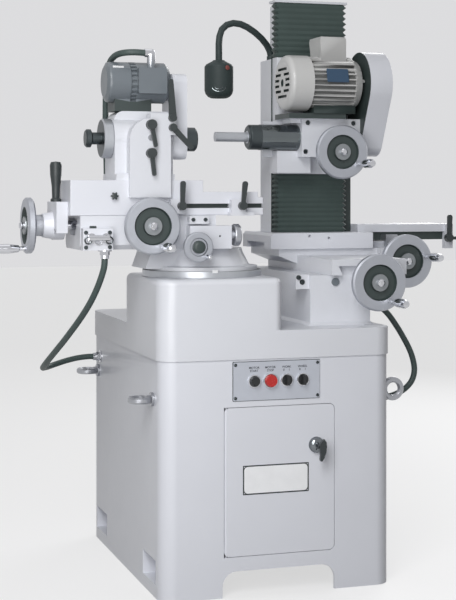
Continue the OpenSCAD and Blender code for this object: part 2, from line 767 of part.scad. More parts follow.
// A selector switch: round base, bar knob and stem
module selector(i) {
  color(dark) toward_front([switch_x0 + i * switch_pitch, front_y, panel_z]) {
    translate([0, 0, panel_t + slide_gap]) cylinder(r = 14, h = 6);
    translate([-4, -13, panel_t + 5]) cube([8, 26, 13]);
    translate([0, 0, -26]) cylinder(d = switch_hole_d - 0.6, h = panel_t + 28);
  }
}

module left_selector() { selector(2); }

module right_selector() { selector(3); }

// Work side

module swivel_base() {
  flange_r = 150;
  flange_t = 10;
  neck_r = 128;
  top_r = 107;
  lug_l = 178;
  lug_d = 150;
  pin_l = casting_wall + ring_h + 6;
  color(paint) {
    translate([swivel_x, swivel_y, z_ring]) rotate_extrude($fn = 96)
      polygon([[0, -pin_l], [swivel_pin_d / 2, -pin_l], [swivel_pin_d / 2, 0], [flange_r, 0],
        [flange_r, flange_t],
        [neck_r, flange_t + 3], [top_r + 4, swivel_h - 12], [top_r, swivel_h], [0, swivel_h]]);
    difference() {
      span([swivel_x - lug_l, swivel_y - lug_d / 2, z_ring + 6], [swivel_x, swivel_y + lug_d / 2, z_saddle]);
      translate([swivel_x - lug_l, swivel_y - lug_d, z_ring]) rotate([0, 20, 0]) translate([-60, 0, 0])
        cube([60, 2 * lug_d, 200]);
    }
  }
}

module work_saddle() {
  chamfer = 12;
  stop_x = feed_box_x0 + 3;
  stop_w = 53;
  stop_t = 22;
  color(paint) difference() {
    union() {
      translate([saddle_x0, 0, 0]) rotate([90, 0, 90]) linear_extrude(saddle_l)
        polygon([[saddle_y0 + chamfer, z_saddle], [saddle_y0, z_saddle + chamfer], [saddle_y0, z_table],
          [saddle_y1, z_table], [saddle_y1, z_saddle + chamfer], [saddle_y1 - chamfer, z_saddle]]);
      translate([saddle_x0, swivel_y, z_table]) dovetail(saddle_l, table_dovetail_w, table_dovetail_h, 9);
      toward_front([front_wheel_x, saddle_y0 + join, front_wheel_z])
        cylinder(r1 = 25, r2 = 23, h = front_boss_l + join);
      span([stop_x, saddle_y0 - stop_t, z_table - 22], [stop_x + stop_w, saddle_y0 + join, z_table - 2]);
    }
    toward_front([front_wheel_x, saddle_y0 + 50, front_wheel_z])
      cylinder(d = shaft_d + 2 * shaft_gap, h = 52 + front_boss_l);
    toward_x([saddle_x0 - join, swivel_y, screw_z]) cylinder(d = shaft_d + 3, h = saddle_l - 20);
    // Wedge-shaped relief in the end face
    translate([saddle_x0 - join, swivel_y, 0]) rotate([90, 0, 90]) linear_extrude(14)
      polygon([[-58, z_table - 6], [58, z_table - 6], [30, z_saddle + 36], [-30, z_saddle + 36]]);
  }
}

module work_switch_box() {
  y0 = saddle_y0 - switch_box_t;
  color(paint) {
    span([switch_box_x, y0, z_saddle], [switch_box_x + switch_box_w, saddle_y0, z_saddle + switch_box_h]);
    // Rotary cock across the cover
    toward_x([switch_box_x + 12, y0 - 9, z_saddle + 32]) cylinder(r = 8, h = switch_box_w - 24);
    for (x = [20, switch_box_w - 20])
      toward_front([switch_box_x + x, y0 + join, z_saddle + 32]) cylinder(r = 12, h = 10 + join);
  }
  color(bare) translate([left_start.x, left_start.y, z_saddle + join]) rotate([180, 0, 0])
    gland(z_saddle + join - left_start.z);
}

module fine_feed_box() {
  y0 = saddle_y0 - feed_box_t;
  bore_d = 16;
  color(paint) difference() {
    union() {
      span([feed_box_x0, y0, z_saddle + join], [feed_box_x1, saddle_y0, z_saddle + join + feed_box_h]);
      toward_front([fine_wheel_x, y0 + 6, fine_wheel_z]) cylinder(r1 = 25, r2 = 22, h = fine_boss_l + 6);
    }
    toward_front([fine_wheel_x, y0, fine_wheel_z])
      cylinder(d = bore_d + 2 * shaft_gap, h = fine_boss_l + join);
    toward_x([feed_box_x1 - 24, knob_y, knob_z]) cylinder(d = 12 + 2 * shaft_gap, h = 24 + join);
  }
}

module front_handwheel() {
  color(bare) toward_front([front_wheel_x, saddle_y0 - front_boss_l, front_wheel_z])
    handwheel(work_wheel_d, 70, -63);
}

module fine_handwheel() {
  r = fine_wheel_d / 2;
  handle_turn = -52;
  color(bare) toward_front([fine_wheel_x, saddle_y0 - feed_box_t - fine_boss_l, fine_wheel_z]) {
    rotate_extrude()
      polygon([[0, -30], [8, -30], [8, slide_gap], [22, slide_gap], [22, 10], [r - 3, 12], [r, 15], [r, 23],
        [r - 3, 26], [24, 26], [22, 22], [17, 22], [16, 32], [11, 36], [0, 37]]);
    rotate([0, 0, handle_turn]) translate([r - 8, 0, 26 - join]) rotate_extrude()
      polygon([[0, 0], [3, 0], [3, 7], [4.5, 8], [6.5, 20], [6, 34], [4, 39], [0, 40]]);
  }
}

module fine_clutch_knob() {
  color(bare) toward_x([feed_box_x1, knob_y, knob_z]) rotate_extrude()
    polygon([[0, -22], [6, -22], [6, slide_gap], [14, slide_gap], [14, 8], [27, 9], [29, 12], [29, 24],
      [26, 27], [12, 27], [10, 32], [0, 32]]);
}

module work_table() {
  bar_l = 153;
  bar_h = 15;
  bar_d = 110;
  groove_x0 = step_x1 - 100;
  color(paint) difference() {
    union() {
      span([table_x0, table_y0, z_table + slide_gap], [table_x1, table_y1, z_rail]);
      span([table_x0, table_y0, z_rail - join], [step_x1, table_y1, z_step]);
      span([step_x1 - join, table_y0, z_rail - join], [step_x1 + bar_l, table_y0 + bar_d, z_rail + bar_h]);
    }
    translate([table_x0 - join, swivel_y, z_table])
      dovetail(table_l + 2 * join, table_dovetail_w + 2 * slide_gap, table_dovetail_h + slide_gap, 9);
    span([groove_x0, table_y0 - join, groove_z - groove_w / 2],
      [table_x1 + join, table_y0 + groove_t, groove_z + groove_w / 2]);
  }
}

module screw_bracket() {
  plate_d = 130;
  plate_up = 62;
  plate_down = 20;
  color(paint) difference() {
    union() {
      span([bracket_x, swivel_y - plate_d / 2, screw_z - plate_down],
        [table_x0, swivel_y + plate_d / 2, screw_z + plate_up]);
      toward_left([bracket_x + bracket_t, swivel_y, screw_z]) cylinder(r = 38, h = bracket_t);
      toward_left([bracket_x + join, swivel_y, screw_z])
        cylinder(r1 = 36, r2 = 31, h = bracket_boss_l + join);
    }
    toward_left([table_x0 + join, swivel_y, screw_z])
      cylinder(d = shaft_d + 2 * shaft_gap, h = bracket_t + bracket_boss_l + 2 * join);
  }
}

module table_handle() {
  color(dark) translate([bracket_x + bracket_t / 2, swivel_y + 22, screw_z + 62]) rotate_extrude()
    polygon([[0, 0], [14, 0], [14, 6], [10, 10], [11, 40], [15, 70], [16, 96], [13, 104], [0, 106]]);
}

module trip_dogs() {
  tongue = groove_w - 2 * slide_gap;
  dog_top = groove_z + 17;
  color(paint) for (x = [left_dog_x, right_dog_x]) difference() {
    union() {
      span([x - dog_left, table_y0 - dog_t, dog_top - dog_h], [x + dog_right, table_y0, dog_top]);
      span([x - dog_left, table_y0 - join, groove_z - tongue / 2],
        [x + dog_right, table_y0 + groove_t - loose, groove_z + tongue / 2]);
      // Trip finger below the right dog
      if (x == right_dog_x)
        span([x - dog_left - 4, table_y0 - dog_t, dog_top - dog_h - 6],
          [x + 35, table_y0 - loose, dog_top - dog_h + 3]);
    }
    toward_front([x, table_y0, groove_z]) cylinder(r = 5 + shaft_gap, h = dog_t + join);
  }
}

module dog_lever(x, lean) {
  color(dark) toward_front([x, table_y0 - dog_t, groove_z]) rotate([0, 0, 90 - lean])
    clamp_lever(11, 18, 58, 10, 14, 5, 20);
}

module left_dog_lever() { dog_lever(left_dog_x, 2); }

module right_dog_lever() { dog_lever(right_dog_x, 6); }

module table_handwheel() {
  shaft_l = bracket_boss_l + bracket_t + table_over + 230;
  color(bare) toward_left([bracket_x - bracket_boss_l, swivel_y, screw_z])
    handwheel(work_wheel_d, shaft_l, 180);
}

module head_casting() {
  foot_t = 16;
  back_y = head_y + 85;
  wall_y = head_y + 62;
  ear_x = head_x1 - 1;
  ear_top = z_work_axis + 64;
  pad_r = 25;
  color(paint) difference() {
    union() {
      // Front pillar with a round top
      translate([0, pillar_y0 + pillar_t, 0]) rotate([90, 0, 0]) linear_extrude(pillar_t) {
        translate([pillar_x - pillar_w / 2, z_step]) square([pillar_w, pillar_top - pillar_w / 2 - z_step]);
        translate([pillar_x, pillar_top - pillar_w / 2]) circle(pillar_w / 2);
      }
      span([pillar_x - pillar_w / 2, pillar_y0, z_rail], [pillar_x + pillar_w / 2, table_y0, z_step + join]);
      // Barrel, with its wall and foot below
      toward_x([head_x0, head_y, z_work_axis]) cylinder(r = barrel_r, h = head_x1 - head_x0);
      span([head_x0, pillar_y0 + pillar_t - join, z_step], [head_x1, wall_y, z_work_axis]);
      span([head_x0, table_y0 + 5, z_step], [head_x1, back_y, z_step + foot_t]);
      // Motor pad with a round left shoulder
      translate([0, head_y + 66, 0]) rotate([90, 0, 0]) linear_extrude(86) {
        translate([pad_x0 + pad_r, z_work_axis]) square([head_x1 - 5 - pad_x0 - pad_r, pad_z - z_work_axis]);
        translate([pad_x0, z_work_axis]) square([2 * pad_r, pad_z - pad_r - z_work_axis]);
        translate([pad_x0 + pad_r, pad_z - pad_r]) circle(pad_r);
      }
      // Clamp ear on the right shoulder of the pillar
      span([pillar_x, pillar_y0, z_work_axis + 8], [ear_x, pillar_y0 + pillar_t, ear_top]);
    }
    toward_x([head_x0 - join, head_y, z_work_axis])
      cylinder(d = work_spindle_d + 2 * shaft_gap, h = head_x1 - head_x0 + 2 * join);
    for (p = head_levers) toward_front([p.x, pillar_y0 + 24, p.y])
      cylinder(r = 5 + shaft_gap, h = 24 + join);
  }
}

module head_lever(i, turn, length, root, tip) {
  hub_r = i > 1 ? 10 : 13;
  hub_l = i > 1 ? 16 : 20;
  color(dark) toward_front([head_levers[i].x, pillar_y0, head_levers[i].y]) rotate([0, 0, turn])
    clamp_lever(hub_r, hub_l, length, root, tip, 5, 20);
}

module upper_head_lever() { head_lever(0, -79, 54, 11, 10); }

module lower_head_lever() { head_lever(1, -83, 54, 11, 10); }

module motor_clamp_lever() { head_lever(2, 93, 95, 20, 12); }

module guard_clamp_lever() { head_lever(3, -46, 70, 14, 13); }

module work_motor() {
  r = work_motor_d / 2;
  x0 = head_x0 - 15;
  length = head_x1 - x0;
  cover_l = 62;
  vent_count = 24;
  foot_x0 = head_x0 + 7;
  foot_w = 99;
  box_w = 76;
  box_h = 68;
  box_t = 26;
  box_x = head_x1 - 56;
  box_y = work_motor_y - r - 16;
  box_z = z_work_motor + 2;
  color("slategray") difference() {
    union() {
      // Fan cover, a narrow joint, then the body
      toward_x([x0, work_motor_y, z_work_motor]) rotate_extrude()
        polygon([[0, 0], [r - 14, 0], [r - 2, 6], [r, 12], [r, cover_l], [r - 2, cover_l + 1],
          [r, cover_l + 2], [r, length - 12], [r - 8, length - 2], [40, length], [0, length]]);
      span([foot_x0, head_y - 20, pad_z], [foot_x0 + foot_w, head_y + 62, z_work_motor - r + 14]);
      toward_front([box_x, box_y + box_t, box_z]) rounded_prism(box_w, box_h, box_t, 5);
      span([box_x - box_w / 2 + 6, box_y + box_t - join, box_z - box_h / 2 + 4],
        [box_x + box_w / 2 - 6, work_motor_y, box_z + box_h / 2 - 4]);
    }
    toward_x([head_x1 - 30, work_motor_y, z_work_motor]) cylinder(d = 18 + 2 * shaft_gap, h = 30 + join);
    // Vent slots round the body, beside the fan cover
    for (i = [0 : vent_count - 1]) translate([x0 + cover_l + 2, work_motor_y, z_work_motor])
      rotate([i * 360 / vent_count, 0, 0]) translate([0, -4, r - 6]) cube([15, 8, 12]);
  }
  // Elbow from the terminal box to the conduit
  color(bare) {
    translate([elbow_x, motor_start.y, box_z + box_h / 2 - join])
      cylinder(r = 11, h = motor_start.z - box_z - box_h / 2 + join);
    translate([elbow_x, motor_start.y, motor_start.z]) sphere(r = 11);
    toward_left([elbow_x, motor_start.y, motor_start.z]) cylinder(r = 11, h = elbow_l);
  }
}

module work_belt_guard() {
  mid_y = head_y + 2;
  low = z_work_axis - 54;
  high = z_work_motor + 23;
  guard_h = high - low;
  color(paint) difference() {
    toward_x([head_x1, mid_y, (low + high) / 2]) rounded_prism(guard_h, work_guard_d, guard_t, 26);
    toward_x([head_x1 + guard_wall, mid_y, (low + high) / 2])
      rounded_prism(guard_h - 2 * guard_wall, work_guard_d - 2 * guard_wall, guard_t - 2 * guard_wall, 23);
    toward_x([head_x1 - join, head_y, z_work_axis]) cylinder(d = work_spindle_d + 4, h = guard_t + 2 * join);
    toward_x([head_x1 - join, work_motor_y, z_work_motor]) cylinder(d = 26, h = guard_wall + 2 * join);
  }
}

module motor_conduit() {
  color(dark) tube(motor_route, conduit_d, [-1, 0, 0], [0, 0, -1]);
  color(bare) translate([motor_end.x, motor_end.y, z_step]) gland(motor_end.z - z_step);
}

module work_spindle() {
  r = work_spindle_d / 2;
  neck = slide_gap;
  nose_x = guard_x1 + 38;
  pulley_x = head_x1 + guard_wall + 6;
  bore_l = 40;
  color(bare) difference() {
    toward_x([head_x0, head_y, z_work_axis]) rotate_extrude()
      polygon([[0, -68], [20, -68], [24, -64], [24, -54], [16, -50], [16, -26], [49, -26], [52, -23],
        [52, -2], [50, -neck], [r, -neck], [r, pulley_x - head_x0], [work_pulley_r, pulley_x - head_x0],
        [work_pulley_r, pulley_x - head_x0 + 20], [r, pulley_x - head_x0 + 20], [r, guard_x1 - head_x0 + 2],
        [32, guard_x1 - head_x0 + 3], [32, nose_x - head_x0 - 4], [28, nose_x - head_x0],
          [0, nose_x - head_x0]]);
    toward_x([nose_x - bore_l, head_y, z_work_axis]) cylinder(d = nose_bore_d, h = bore_l + join);
  }
}

module work_motor_pulley() {
  pulley_x = head_x1 + guard_wall + 6;
  color(bare) {
    toward_x([head_x1 - 28, work_motor_y, z_work_motor]) cylinder(d = 18, h = 30 + pulley_x - head_x1);
    toward_x([pulley_x, work_motor_y, z_work_motor]) cylinder(r = work_motor_pulley_r, h = 20);
  }
}

module work_belt() {
  belt_x = head_x1 + guard_wall + 10;
  lift = work_motor_y - head_y;
  color("dimgray") translate([belt_x, head_y, z_work_axis]) rotate([90, 0, 90]) linear_extrude(belt_w)
    difference() {
    loop_outline(work_pulley_r + slide_gap + belt_t, work_motor_pulley_r + slide_gap + belt_t, lift,
      work_motor_up);
    loop_outline(work_pulley_r + slide_gap, work_motor_pulley_r + slide_gap, lift, work_motor_up);
  }
}

// Wheel side

module wheel_way_base() {
  flare = 12;
  lug_w = 38;
  color(paint) difference() {
    union() {
      span([pedestal_x, pedestal_y, z_way], [pedestal_x + way_w, pedestal_y + way_d, z_way_top]);
      translate([cross_x, pedestal_y, z_way_top]) rotate([0, 0, 90])
        dovetail(way_d, cross_dovetail_w, dovetail_h, flare);
      toward_front([cross_x, pedestal_y + join, cross_wheel_z])
        cylinder(r1 = 28, r2 = 26, h = cross_boss_l + join);
      toward_front([pedestal_x + 72, pedestal_y + join, z_way + 28]) cylinder(r = 11, h = 5);
      // Lock lug on the left side
      span([pedestal_x - lug_w, pedestal_y + 10, z_way + 9],
        [pedestal_x + join, pedestal_y + 60, z_way + 48]);
    }
    toward_front([cross_x, pedestal_y + 400, cross_wheel_z])
      cylinder(d = shaft_d + 2 * shaft_gap, h = 402 + cross_boss_l);
    toward_front([pedestal_x - lug_w / 2, pedestal_y + 70, z_way + 28]) cylinder(r = 8, h = 80);
  }
}

module wheel_saddle() {
  flare = 12;
  low_x0 = cross_x - wheel_saddle_w / 2;
  low_x1 = cross_x + wheel_saddle_w / 2;
  bore_d = shaft_d + 2 * shaft_gap;
  color(paint) difference() {
    union() {
      span([low_x0, wheel_saddle_y0, z_way_top + slide_gap], [low_x1, wheel_saddle_y1, z_bed + join]);
      // Long bed with a tapered underside
      translate([0, wheel_saddle_y1, 0]) rotate([90, 0, 0]) linear_extrude(wheel_saddle_y1 - bed_y0)
        polygon([[bed_x0, z_bed_top], [bed_x0, z_bed], [low_x0, z_bed - 22], [low_x1, z_bed - 22],
          [bed_x1, z_bed - 4], [bed_x1, z_bed_top]]);
      translate([bed_x0, bed_mid_y, z_bed_top])
        dovetail(bed_x1 - bed_x0, bed_dovetail_w, bed_dovetail_h, 10);
      // Apron that carries the long handwheel
      span([long_wheel_x - apron_w / 2, bed_y0 - apron_t, long_wheel_z - 42],
        [long_wheel_x + apron_w / 2, bed_y0 + join, z_bed_top]);
      toward_front([long_wheel_x, bed_y0 - apron_t + join, long_wheel_z])
        cylinder(r1 = 36, r2 = 31, h = long_boss_l + join);
    }
    translate([cross_x, wheel_saddle_y0 - join, z_way_top]) rotate([0, 0, 90])
      dovetail(wheel_saddle_l + 2 * join, cross_dovetail_w + 2 * slide_gap, dovetail_h + slide_gap, flare);
    toward_front([long_wheel_x, bed_y0, long_wheel_z])
      cylinder(d = bore_d, h = apron_t + long_boss_l + 2 * join);
  }
}

module cross_handwheel() {
  color(bare) toward_front([cross_x, pedestal_y - cross_boss_l, cross_wheel_z])
    handwheel(wheel_d, cross_boss_l + 360, -55);
}

module long_slide() {
  end_w = 26;
  end_y0 = arm_y0 - 18;
  hook_x0 = slide_x1 + 60;
  hook_y0 = arm_y0 - 38;
  hook_w = 37;
  hook_top = z_slide_top - 8;
  color(paint) difference() {
    union() {
      translate([0, slide_y1, 0]) rotate([90, 0, 0]) linear_extrude(slide_y1 - slide_y0)
        polygon([[slide_x0, z_bed_top + slide_gap], [slide_x1, z_bed_top + slide_gap],
          [slide_x1, z_slide_top], [slide_x0 + 8, z_slide_top], [slide_x0, z_slide_top - 8]]);
      // Arm to the right with its rail, end block and hooked bracket
      span([slide_x1 - 30, arm_y0, z_bed_top + bed_dovetail_h + 3], [arm_x1, arm_y0 + arm_d, z_slide_top]);
      span([slide_x1 - 20, arm_y0 - 12, z_slide_top - join], [arm_x1, arm_y0 + arm_d, arm_top]);
      span([arm_x1 - end_w, end_y0, z_bed_top - 6], [arm_x1, arm_y0 + join, arm_top]);
      span([hook_x0, hook_y0, z_bed_top + 2], [hook_x0 + hook_w, hook_y0 + 14, hook_top]);
      span([hook_x0, hook_y0, z_bed_top + bed_dovetail_h + 3], [hook_x0 + hook_w, arm_y0 + join, hook_top]);
    }
    translate([slide_x0 - join, bed_mid_y, z_bed_top])
      dovetail(long_slide_w + 2 * join, bed_dovetail_w + 2 * slide_gap, bed_dovetail_h + slide_gap, 10);
    toward_front([stop_lever_x, arm_y0, z_slide_top - 20]) cylinder(r = 5 + shaft_gap, h = 20);
    for (p = [[118, -9], [178, -15]])
      toward_front([slide_x0 + p.x, slide_y0 + 12, z_slide_top + p.y]) cylinder(d = 8, h = 14);
  }
}

module long_handwheel() {
  color(bare) toward_front([long_wheel_x, bed_y0 - apron_t - long_boss_l, long_wheel_z])
    handwheel(wheel_d, apron_t + long_boss_l - 2, 11);
}

module stop_lever() {
  color(dark) toward_front([stop_lever_x, arm_y0 - 18, z_slide_top - 20]) rotate([0, 0, 88]) {
    clamp_lever(12, 18, 62, 11, 15, 5, 14);
    translate([0, 0, 9]) rotate([90, 0, 0]) cylinder(r = 5, h = 34);
  }
}

module column() {
  post_in = 27;
  cap_t = 6;
  post_y1 = column_y1 - 10;
  inner_y0 = column_y0 + column_wall;
  slot_w = 110;
  color(paint) difference() {
    union() {
      span([column_x0, column_y0, z_slide_top], [column_x1, column_y1, z_column_top]);
      span([column_x0 + post_in, column_y0, z_column_top - join],
        [column_x1 - post_in, post_y1, z_post_top]);
      span([column_x0, column_y0 - bellows_t - 2, z_post_top - join],
        [bellows_x1, column_y0 + 20, z_post_top + cap_t]);
    }
    span([column_x0 + column_wall, inner_y0, z_slide_top + column_wall],
      [column_x1 - column_wall, column_y1 - column_wall, z_column_top - column_wall]);
    span([column_mid_x - slot_w / 2, inner_y0, z_slide_top + column_wall],
      [column_mid_x + slot_w / 2, post_y1 - column_wall, z_post_top - column_wall]);
    span([column_mid_x - slot_w / 2, column_y0 - join, z_slide_top + 30],
      [column_mid_x + slot_w / 2, inner_y0 + join, z_post_top - 30]);
    translate([column_mid_x, column_y0 + column_d / 2, z_slide_top - join])
      cylinder(d = screw_d + 2 * shaft_gap, h = column_wall + 2 * join);
  }
}

module elevating_screw() {
  color(bare) translate([column_mid_x, column_y0 + column_d / 2, z_slide_top + 1])
    cylinder(d = screw_d, h = z_post_top - column_wall - z_slide_top - 3);
}

module wheelhead() {
  plate_y0 = column_y0 - slide_gap - carriage_t;
  plate_in = 4;
  r = cartridge_d / 2;
  foot_h = 48;
  nut_w = 90;
  color(paint) difference() {
    union() {
      // Carriage plate on the column
      span([column_x0 + plate_in, plate_y0, carriage_z0], [housing_x1, column_y0 - slide_gap, carriage_z1]);
      // Spindle housing, with a split lug to the left under the cartridge
      span([housing_x0, housing_y0, housing_z0], [housing_x1, plate_y0 + join, housing_z1]);
      span([housing_x0 - 62, wheel_axis_y - 8, housing_z0 - 46],
        [housing_x0 + 40, plate_y0 + join, z_wheel_axis - r - 1]);
      span([housing_x0 - 90, wheel_axis_y + r + 2, housing_z0],
        [housing_x0 + join, plate_y0 + join, housing_z1 - 6]);
      // Ear above the cartridge
      span([housing_x0 - 31, housing_y0 + 13, housing_z1 - 13],
        [housing_x0 + join, plate_y0 + join, housing_z1]);
      toward_front([vertical_wheel_x, housing_y0 + join, vertical_wheel_z])
        cylinder(r1 = 40, r2 = 32, h = vertical_boss_l + join);
      // Motor plate
      span([housing_x0 - 48, housing_y0 - 25, housing_z1 - join],
        [housing_x1 - 54, plate_y0 + join, housing_z1 + motor_plate_t]);
      // Nut arm into the column
      span([column_mid_x - nut_w / 2, column_y0 - slide_gap - join, housing_z0],
        [column_mid_x + nut_w / 2, column_y0 + column_d / 2 - screw_d / 2 - loose, housing_z0 + foot_h]);
    }
    toward_x([housing_x0 - 100, wheel_axis_y, z_wheel_axis])
      cylinder(r = r, h = housing_x1 - housing_x0 + 100 + join);
    toward_front([vertical_wheel_x, housing_y0 + 12, vertical_wheel_z])
      cylinder(d = shaft_d + 2 * shaft_gap, h = 12 + vertical_boss_l + join);
    for (p = [[19, -12], [housing_w - 20, -12], [12, -95]])
      toward_front([housing_x0 + p.x, housing_y0 + 8, housing_z1 + p.y]) cylinder(d = 15, h = 10);
  }
}

module vertical_handwheel() {
  color(bare) toward_front([vertical_wheel_x, housing_y0 - vertical_boss_l, vertical_wheel_z])
    handwheel(wheel_d, vertical_boss_l + 8, -32);
}

module lower_bellows() {
  color(dark) pleated(column_x0, bellows_x1, column_y0 - bellows_t, column_y0 - slide_gap, z_slide_top,
    carriage_z0, lower_pleats);
}

module upper_bellows() {
  color(dark) pleated(column_x0, bellows_x1, column_y0 - bellows_t, column_y0 - slide_gap, carriage_z1,
    z_post_top - join, upper_pleats);
}

module wheel_motor() {
  r = wheel_motor_d / 2;
  cover_l = 70;
  shoulder = 16;
  body_x = wheel_motor_x0 + cover_l;
  fin_count = 30;
  fin_t = 4;
  foot_w = 90;
  plate_z = housing_z1 + motor_plate_t;
  box_x = body_x + 35;
  box_z = z_wheel_motor + r;
  // Vent slots in the end: height from the axis, then where each starts and ends across it
  slot_rows = [[39, -36, 36], [23.5, 12, 55], [8, 26, 60]];
  slot_h = 7.5;
  slot_t = 8;
  color("lightgray") difference() {
    union() {
      // Fan cover with a round shoulder
      toward_x([wheel_motor_x0, wheel_motor_y, z_wheel_motor]) rotate_extrude()
        polygon(concat([[0, 0]],
          [for (a = [0 : 15 : 90]) [r - shoulder * (1 - sin(a)), shoulder * (1 - cos(a))]],
          [[r, cover_l], [0, cover_l]]));
      // Finned body and end bell
      toward_x([body_x - join, wheel_motor_y, z_wheel_motor])
        cylinder(r = r - 12, h = wheel_motor_x1 - body_x - 12);
      toward_x([body_x, wheel_motor_y, z_wheel_motor]) linear_extrude(wheel_motor_x1 - body_x - 22)
        for (i = [0 : fin_count - 1]) rotate(i * 360 / fin_count) translate([r - 15, -fin_t / 2])
          square([13, fin_t]);
      toward_x([wheel_motor_x1 - 22, wheel_motor_y, z_wheel_motor])
        cylinder(r1 = r - 2, r2 = r - 14, h = 22);
      span([body_x + 10, wheel_motor_y - foot_w / 2, plate_z],
        [wheel_motor_x1 - 14, wheel_motor_y + foot_w / 2, z_wheel_motor - r + 18]);
      // Terminal box on top
      translate([0, wheel_motor_y + 44, 0]) rotate([90, 0, 0]) linear_extrude(88)
        polygon([[box_x, box_z - 18], [box_x + 74, box_z - 18], [box_x + 74, box_z + 46],
          [box_x + 70, box_z + 52], [box_x - 4, box_z + 52], [box_x - 6, box_z + 44]]);
    }
    for (row = slot_rows, up = [-1, 1], side = row[1] < 0 ? [1] : [-1, 1])
      translate([wheel_motor_x0 - join, wheel_motor_y + min(side * row[1], side * row[2]),
        z_wheel_motor + up * row[0] - slot_h / 2]) cube([slot_t + join, row[2] - row[1], slot_h]);
    toward_x([wheel_motor_x0 - join, wheel_motor_y, z_wheel_motor]) cylinder(d = 22, h = slot_t + join);
    toward_x([wheel_motor_x1 - 40, wheel_motor_y, z_wheel_motor])
      cylinder(d = 24 + 2 * shaft_gap, h = 40 + join);
  }
}

module wheel_belt_guard() {
  low_r = 53;
  high_r = 94;
  lift = wheel_motor_y - wheel_axis_y;
  gap_x = wheel_guard_x0;
  color(paint) difference() {
    translate([gap_x, wheel_axis_y, z_wheel_axis]) rotate([90, 0, 90]) linear_extrude(wheel_guard_t)
      loop_outline(low_r, high_r, lift, wheel_motor_up);
    translate([gap_x + guard_wall, wheel_axis_y, z_wheel_axis]) rotate([90, 0, 90])
      linear_extrude(wheel_guard_t - 2 * guard_wall)
        loop_outline(low_r - guard_wall, high_r - guard_wall, lift, wheel_motor_up);
    toward_x([gap_x - join, wheel_axis_y, z_wheel_axis]) cylinder(d = 50, h = guard_wall + 2 * join);
    toward_x([gap_x - join, wheel_motor_y, z_wheel_motor]) cylinder(d = 40, h = guard_wall + 2 * join);
  }
}

module spindle_cartridge() {
  r = cartridge_d / 2;
  color(bare) difference() {
    toward_x([cartridge_x0, wheel_axis_y, z_wheel_axis]) rotate_extrude()
      polygon([[0, 0], [r - 6, 0], [r - 1, 5], [r - 1, 34], [r - shaft_gap, 36],
        [r - shaft_gap, housing_x1 - cartridge_x0], [0, housing_x1 - cartridge_x0]]);
    toward_x([cartridge_x0 - join, wheel_axis_y, z_wheel_axis])
      cylinder(d = arbor_d + 8 + 2 * shaft_gap, h = housing_x1 - cartridge_x0 + 2 * join);
  }
}

module wheel_spindle() {
  r = arbor_d / 2;
  shaft_r = r + 4;
  pulley_x = wheel_guard_x0 + 14;
  pulley_w = 40;
  color(bare) {
    toward_x([cartridge_x0 - arbor_l, wheel_axis_y, z_wheel_axis]) cylinder(r = r, h = arbor_l);
    toward_x([cartridge_x0 - slide_gap, wheel_axis_y, z_wheel_axis])
      cylinder(r = shaft_r, h = pulley_x + pulley_w - cartridge_x0);
    toward_x([pulley_x, wheel_axis_y, z_wheel_axis]) cylinder(r = wheel_pulley_r, h = pulley_w);
  }
}

module wheel_motor_pulley() {
  pulley_x = wheel_guard_x0 + 14;
  pulley_w = 40;
  color(bare) {
    toward_x([wheel_motor_x1 - 38, wheel_motor_y, z_wheel_motor])
      cylinder(d = 24, h = 38 + pulley_x - wheel_motor_x1 + join);
    toward_x([pulley_x, wheel_motor_y, z_wheel_motor]) cylinder(r = wheel_motor_pulley_r, h = pulley_w);
  }
}

module wheel_belt() {
  belt_x = wheel_guard_x0 + 20;
  lift = wheel_motor_y - wheel_axis_y;
  color("dimgray") translate([belt_x, wheel_axis_y, z_wheel_axis]) rotate([90, 0, 90])
    linear_extrude(2 * belt_w)
    difference() {
      loop_outline(wheel_pulley_r + slide_gap + belt_t, wheel_motor_pulley_r + slide_gap + belt_t, lift,
        wheel_motor_up);
      loop_outline(wheel_pulley_r + slide_gap, wheel_motor_pulley_r + slide_gap, lift, wheel_motor_up);
    }
}

// The lamp's bent neck, from its foot on the column's shoulder to its head
lamp_route = [[0, 0, 12], [-4, -2, 28], [-16, -8, 45], [-36, -20, 62], [-60, -30, 78], [-85, -35, 92],
  [-107, -38, 100], [-130, -40, 102], [-150, -40, 96], [-165, -40, 82], [-172, -40, 62], [-174, -40, 40],
  [-174, -40, 16], [-174, -40, -8]];

module work_lamp() {
  head_r = 42;
  head_l = 110;
  base = [lamp_x, lamp_y, z_column_top];
  head = base + lamp_route[13];
  color(dark) {
    translate(base) cylinder(r = 12, h = 12);
    tube([for (p = lamp_route) base + p], 20, [0, 0, 1], [0, 0, -1]);
    translate(head) rotate_extrude()
      polygon([[0, 0], [17, 0], [20, -3], [37, -12], [head_r, -19], [head_r, -head_l + 22],
        [head_r - 3, -head_l + 12], [head_r - 10, -head_l + 4], [head_r - 18, -head_l],
        [head_r - 20, -head_l], [head_r - 22, -head_l + 6], [0, -head_l + 6]]);
  }
}

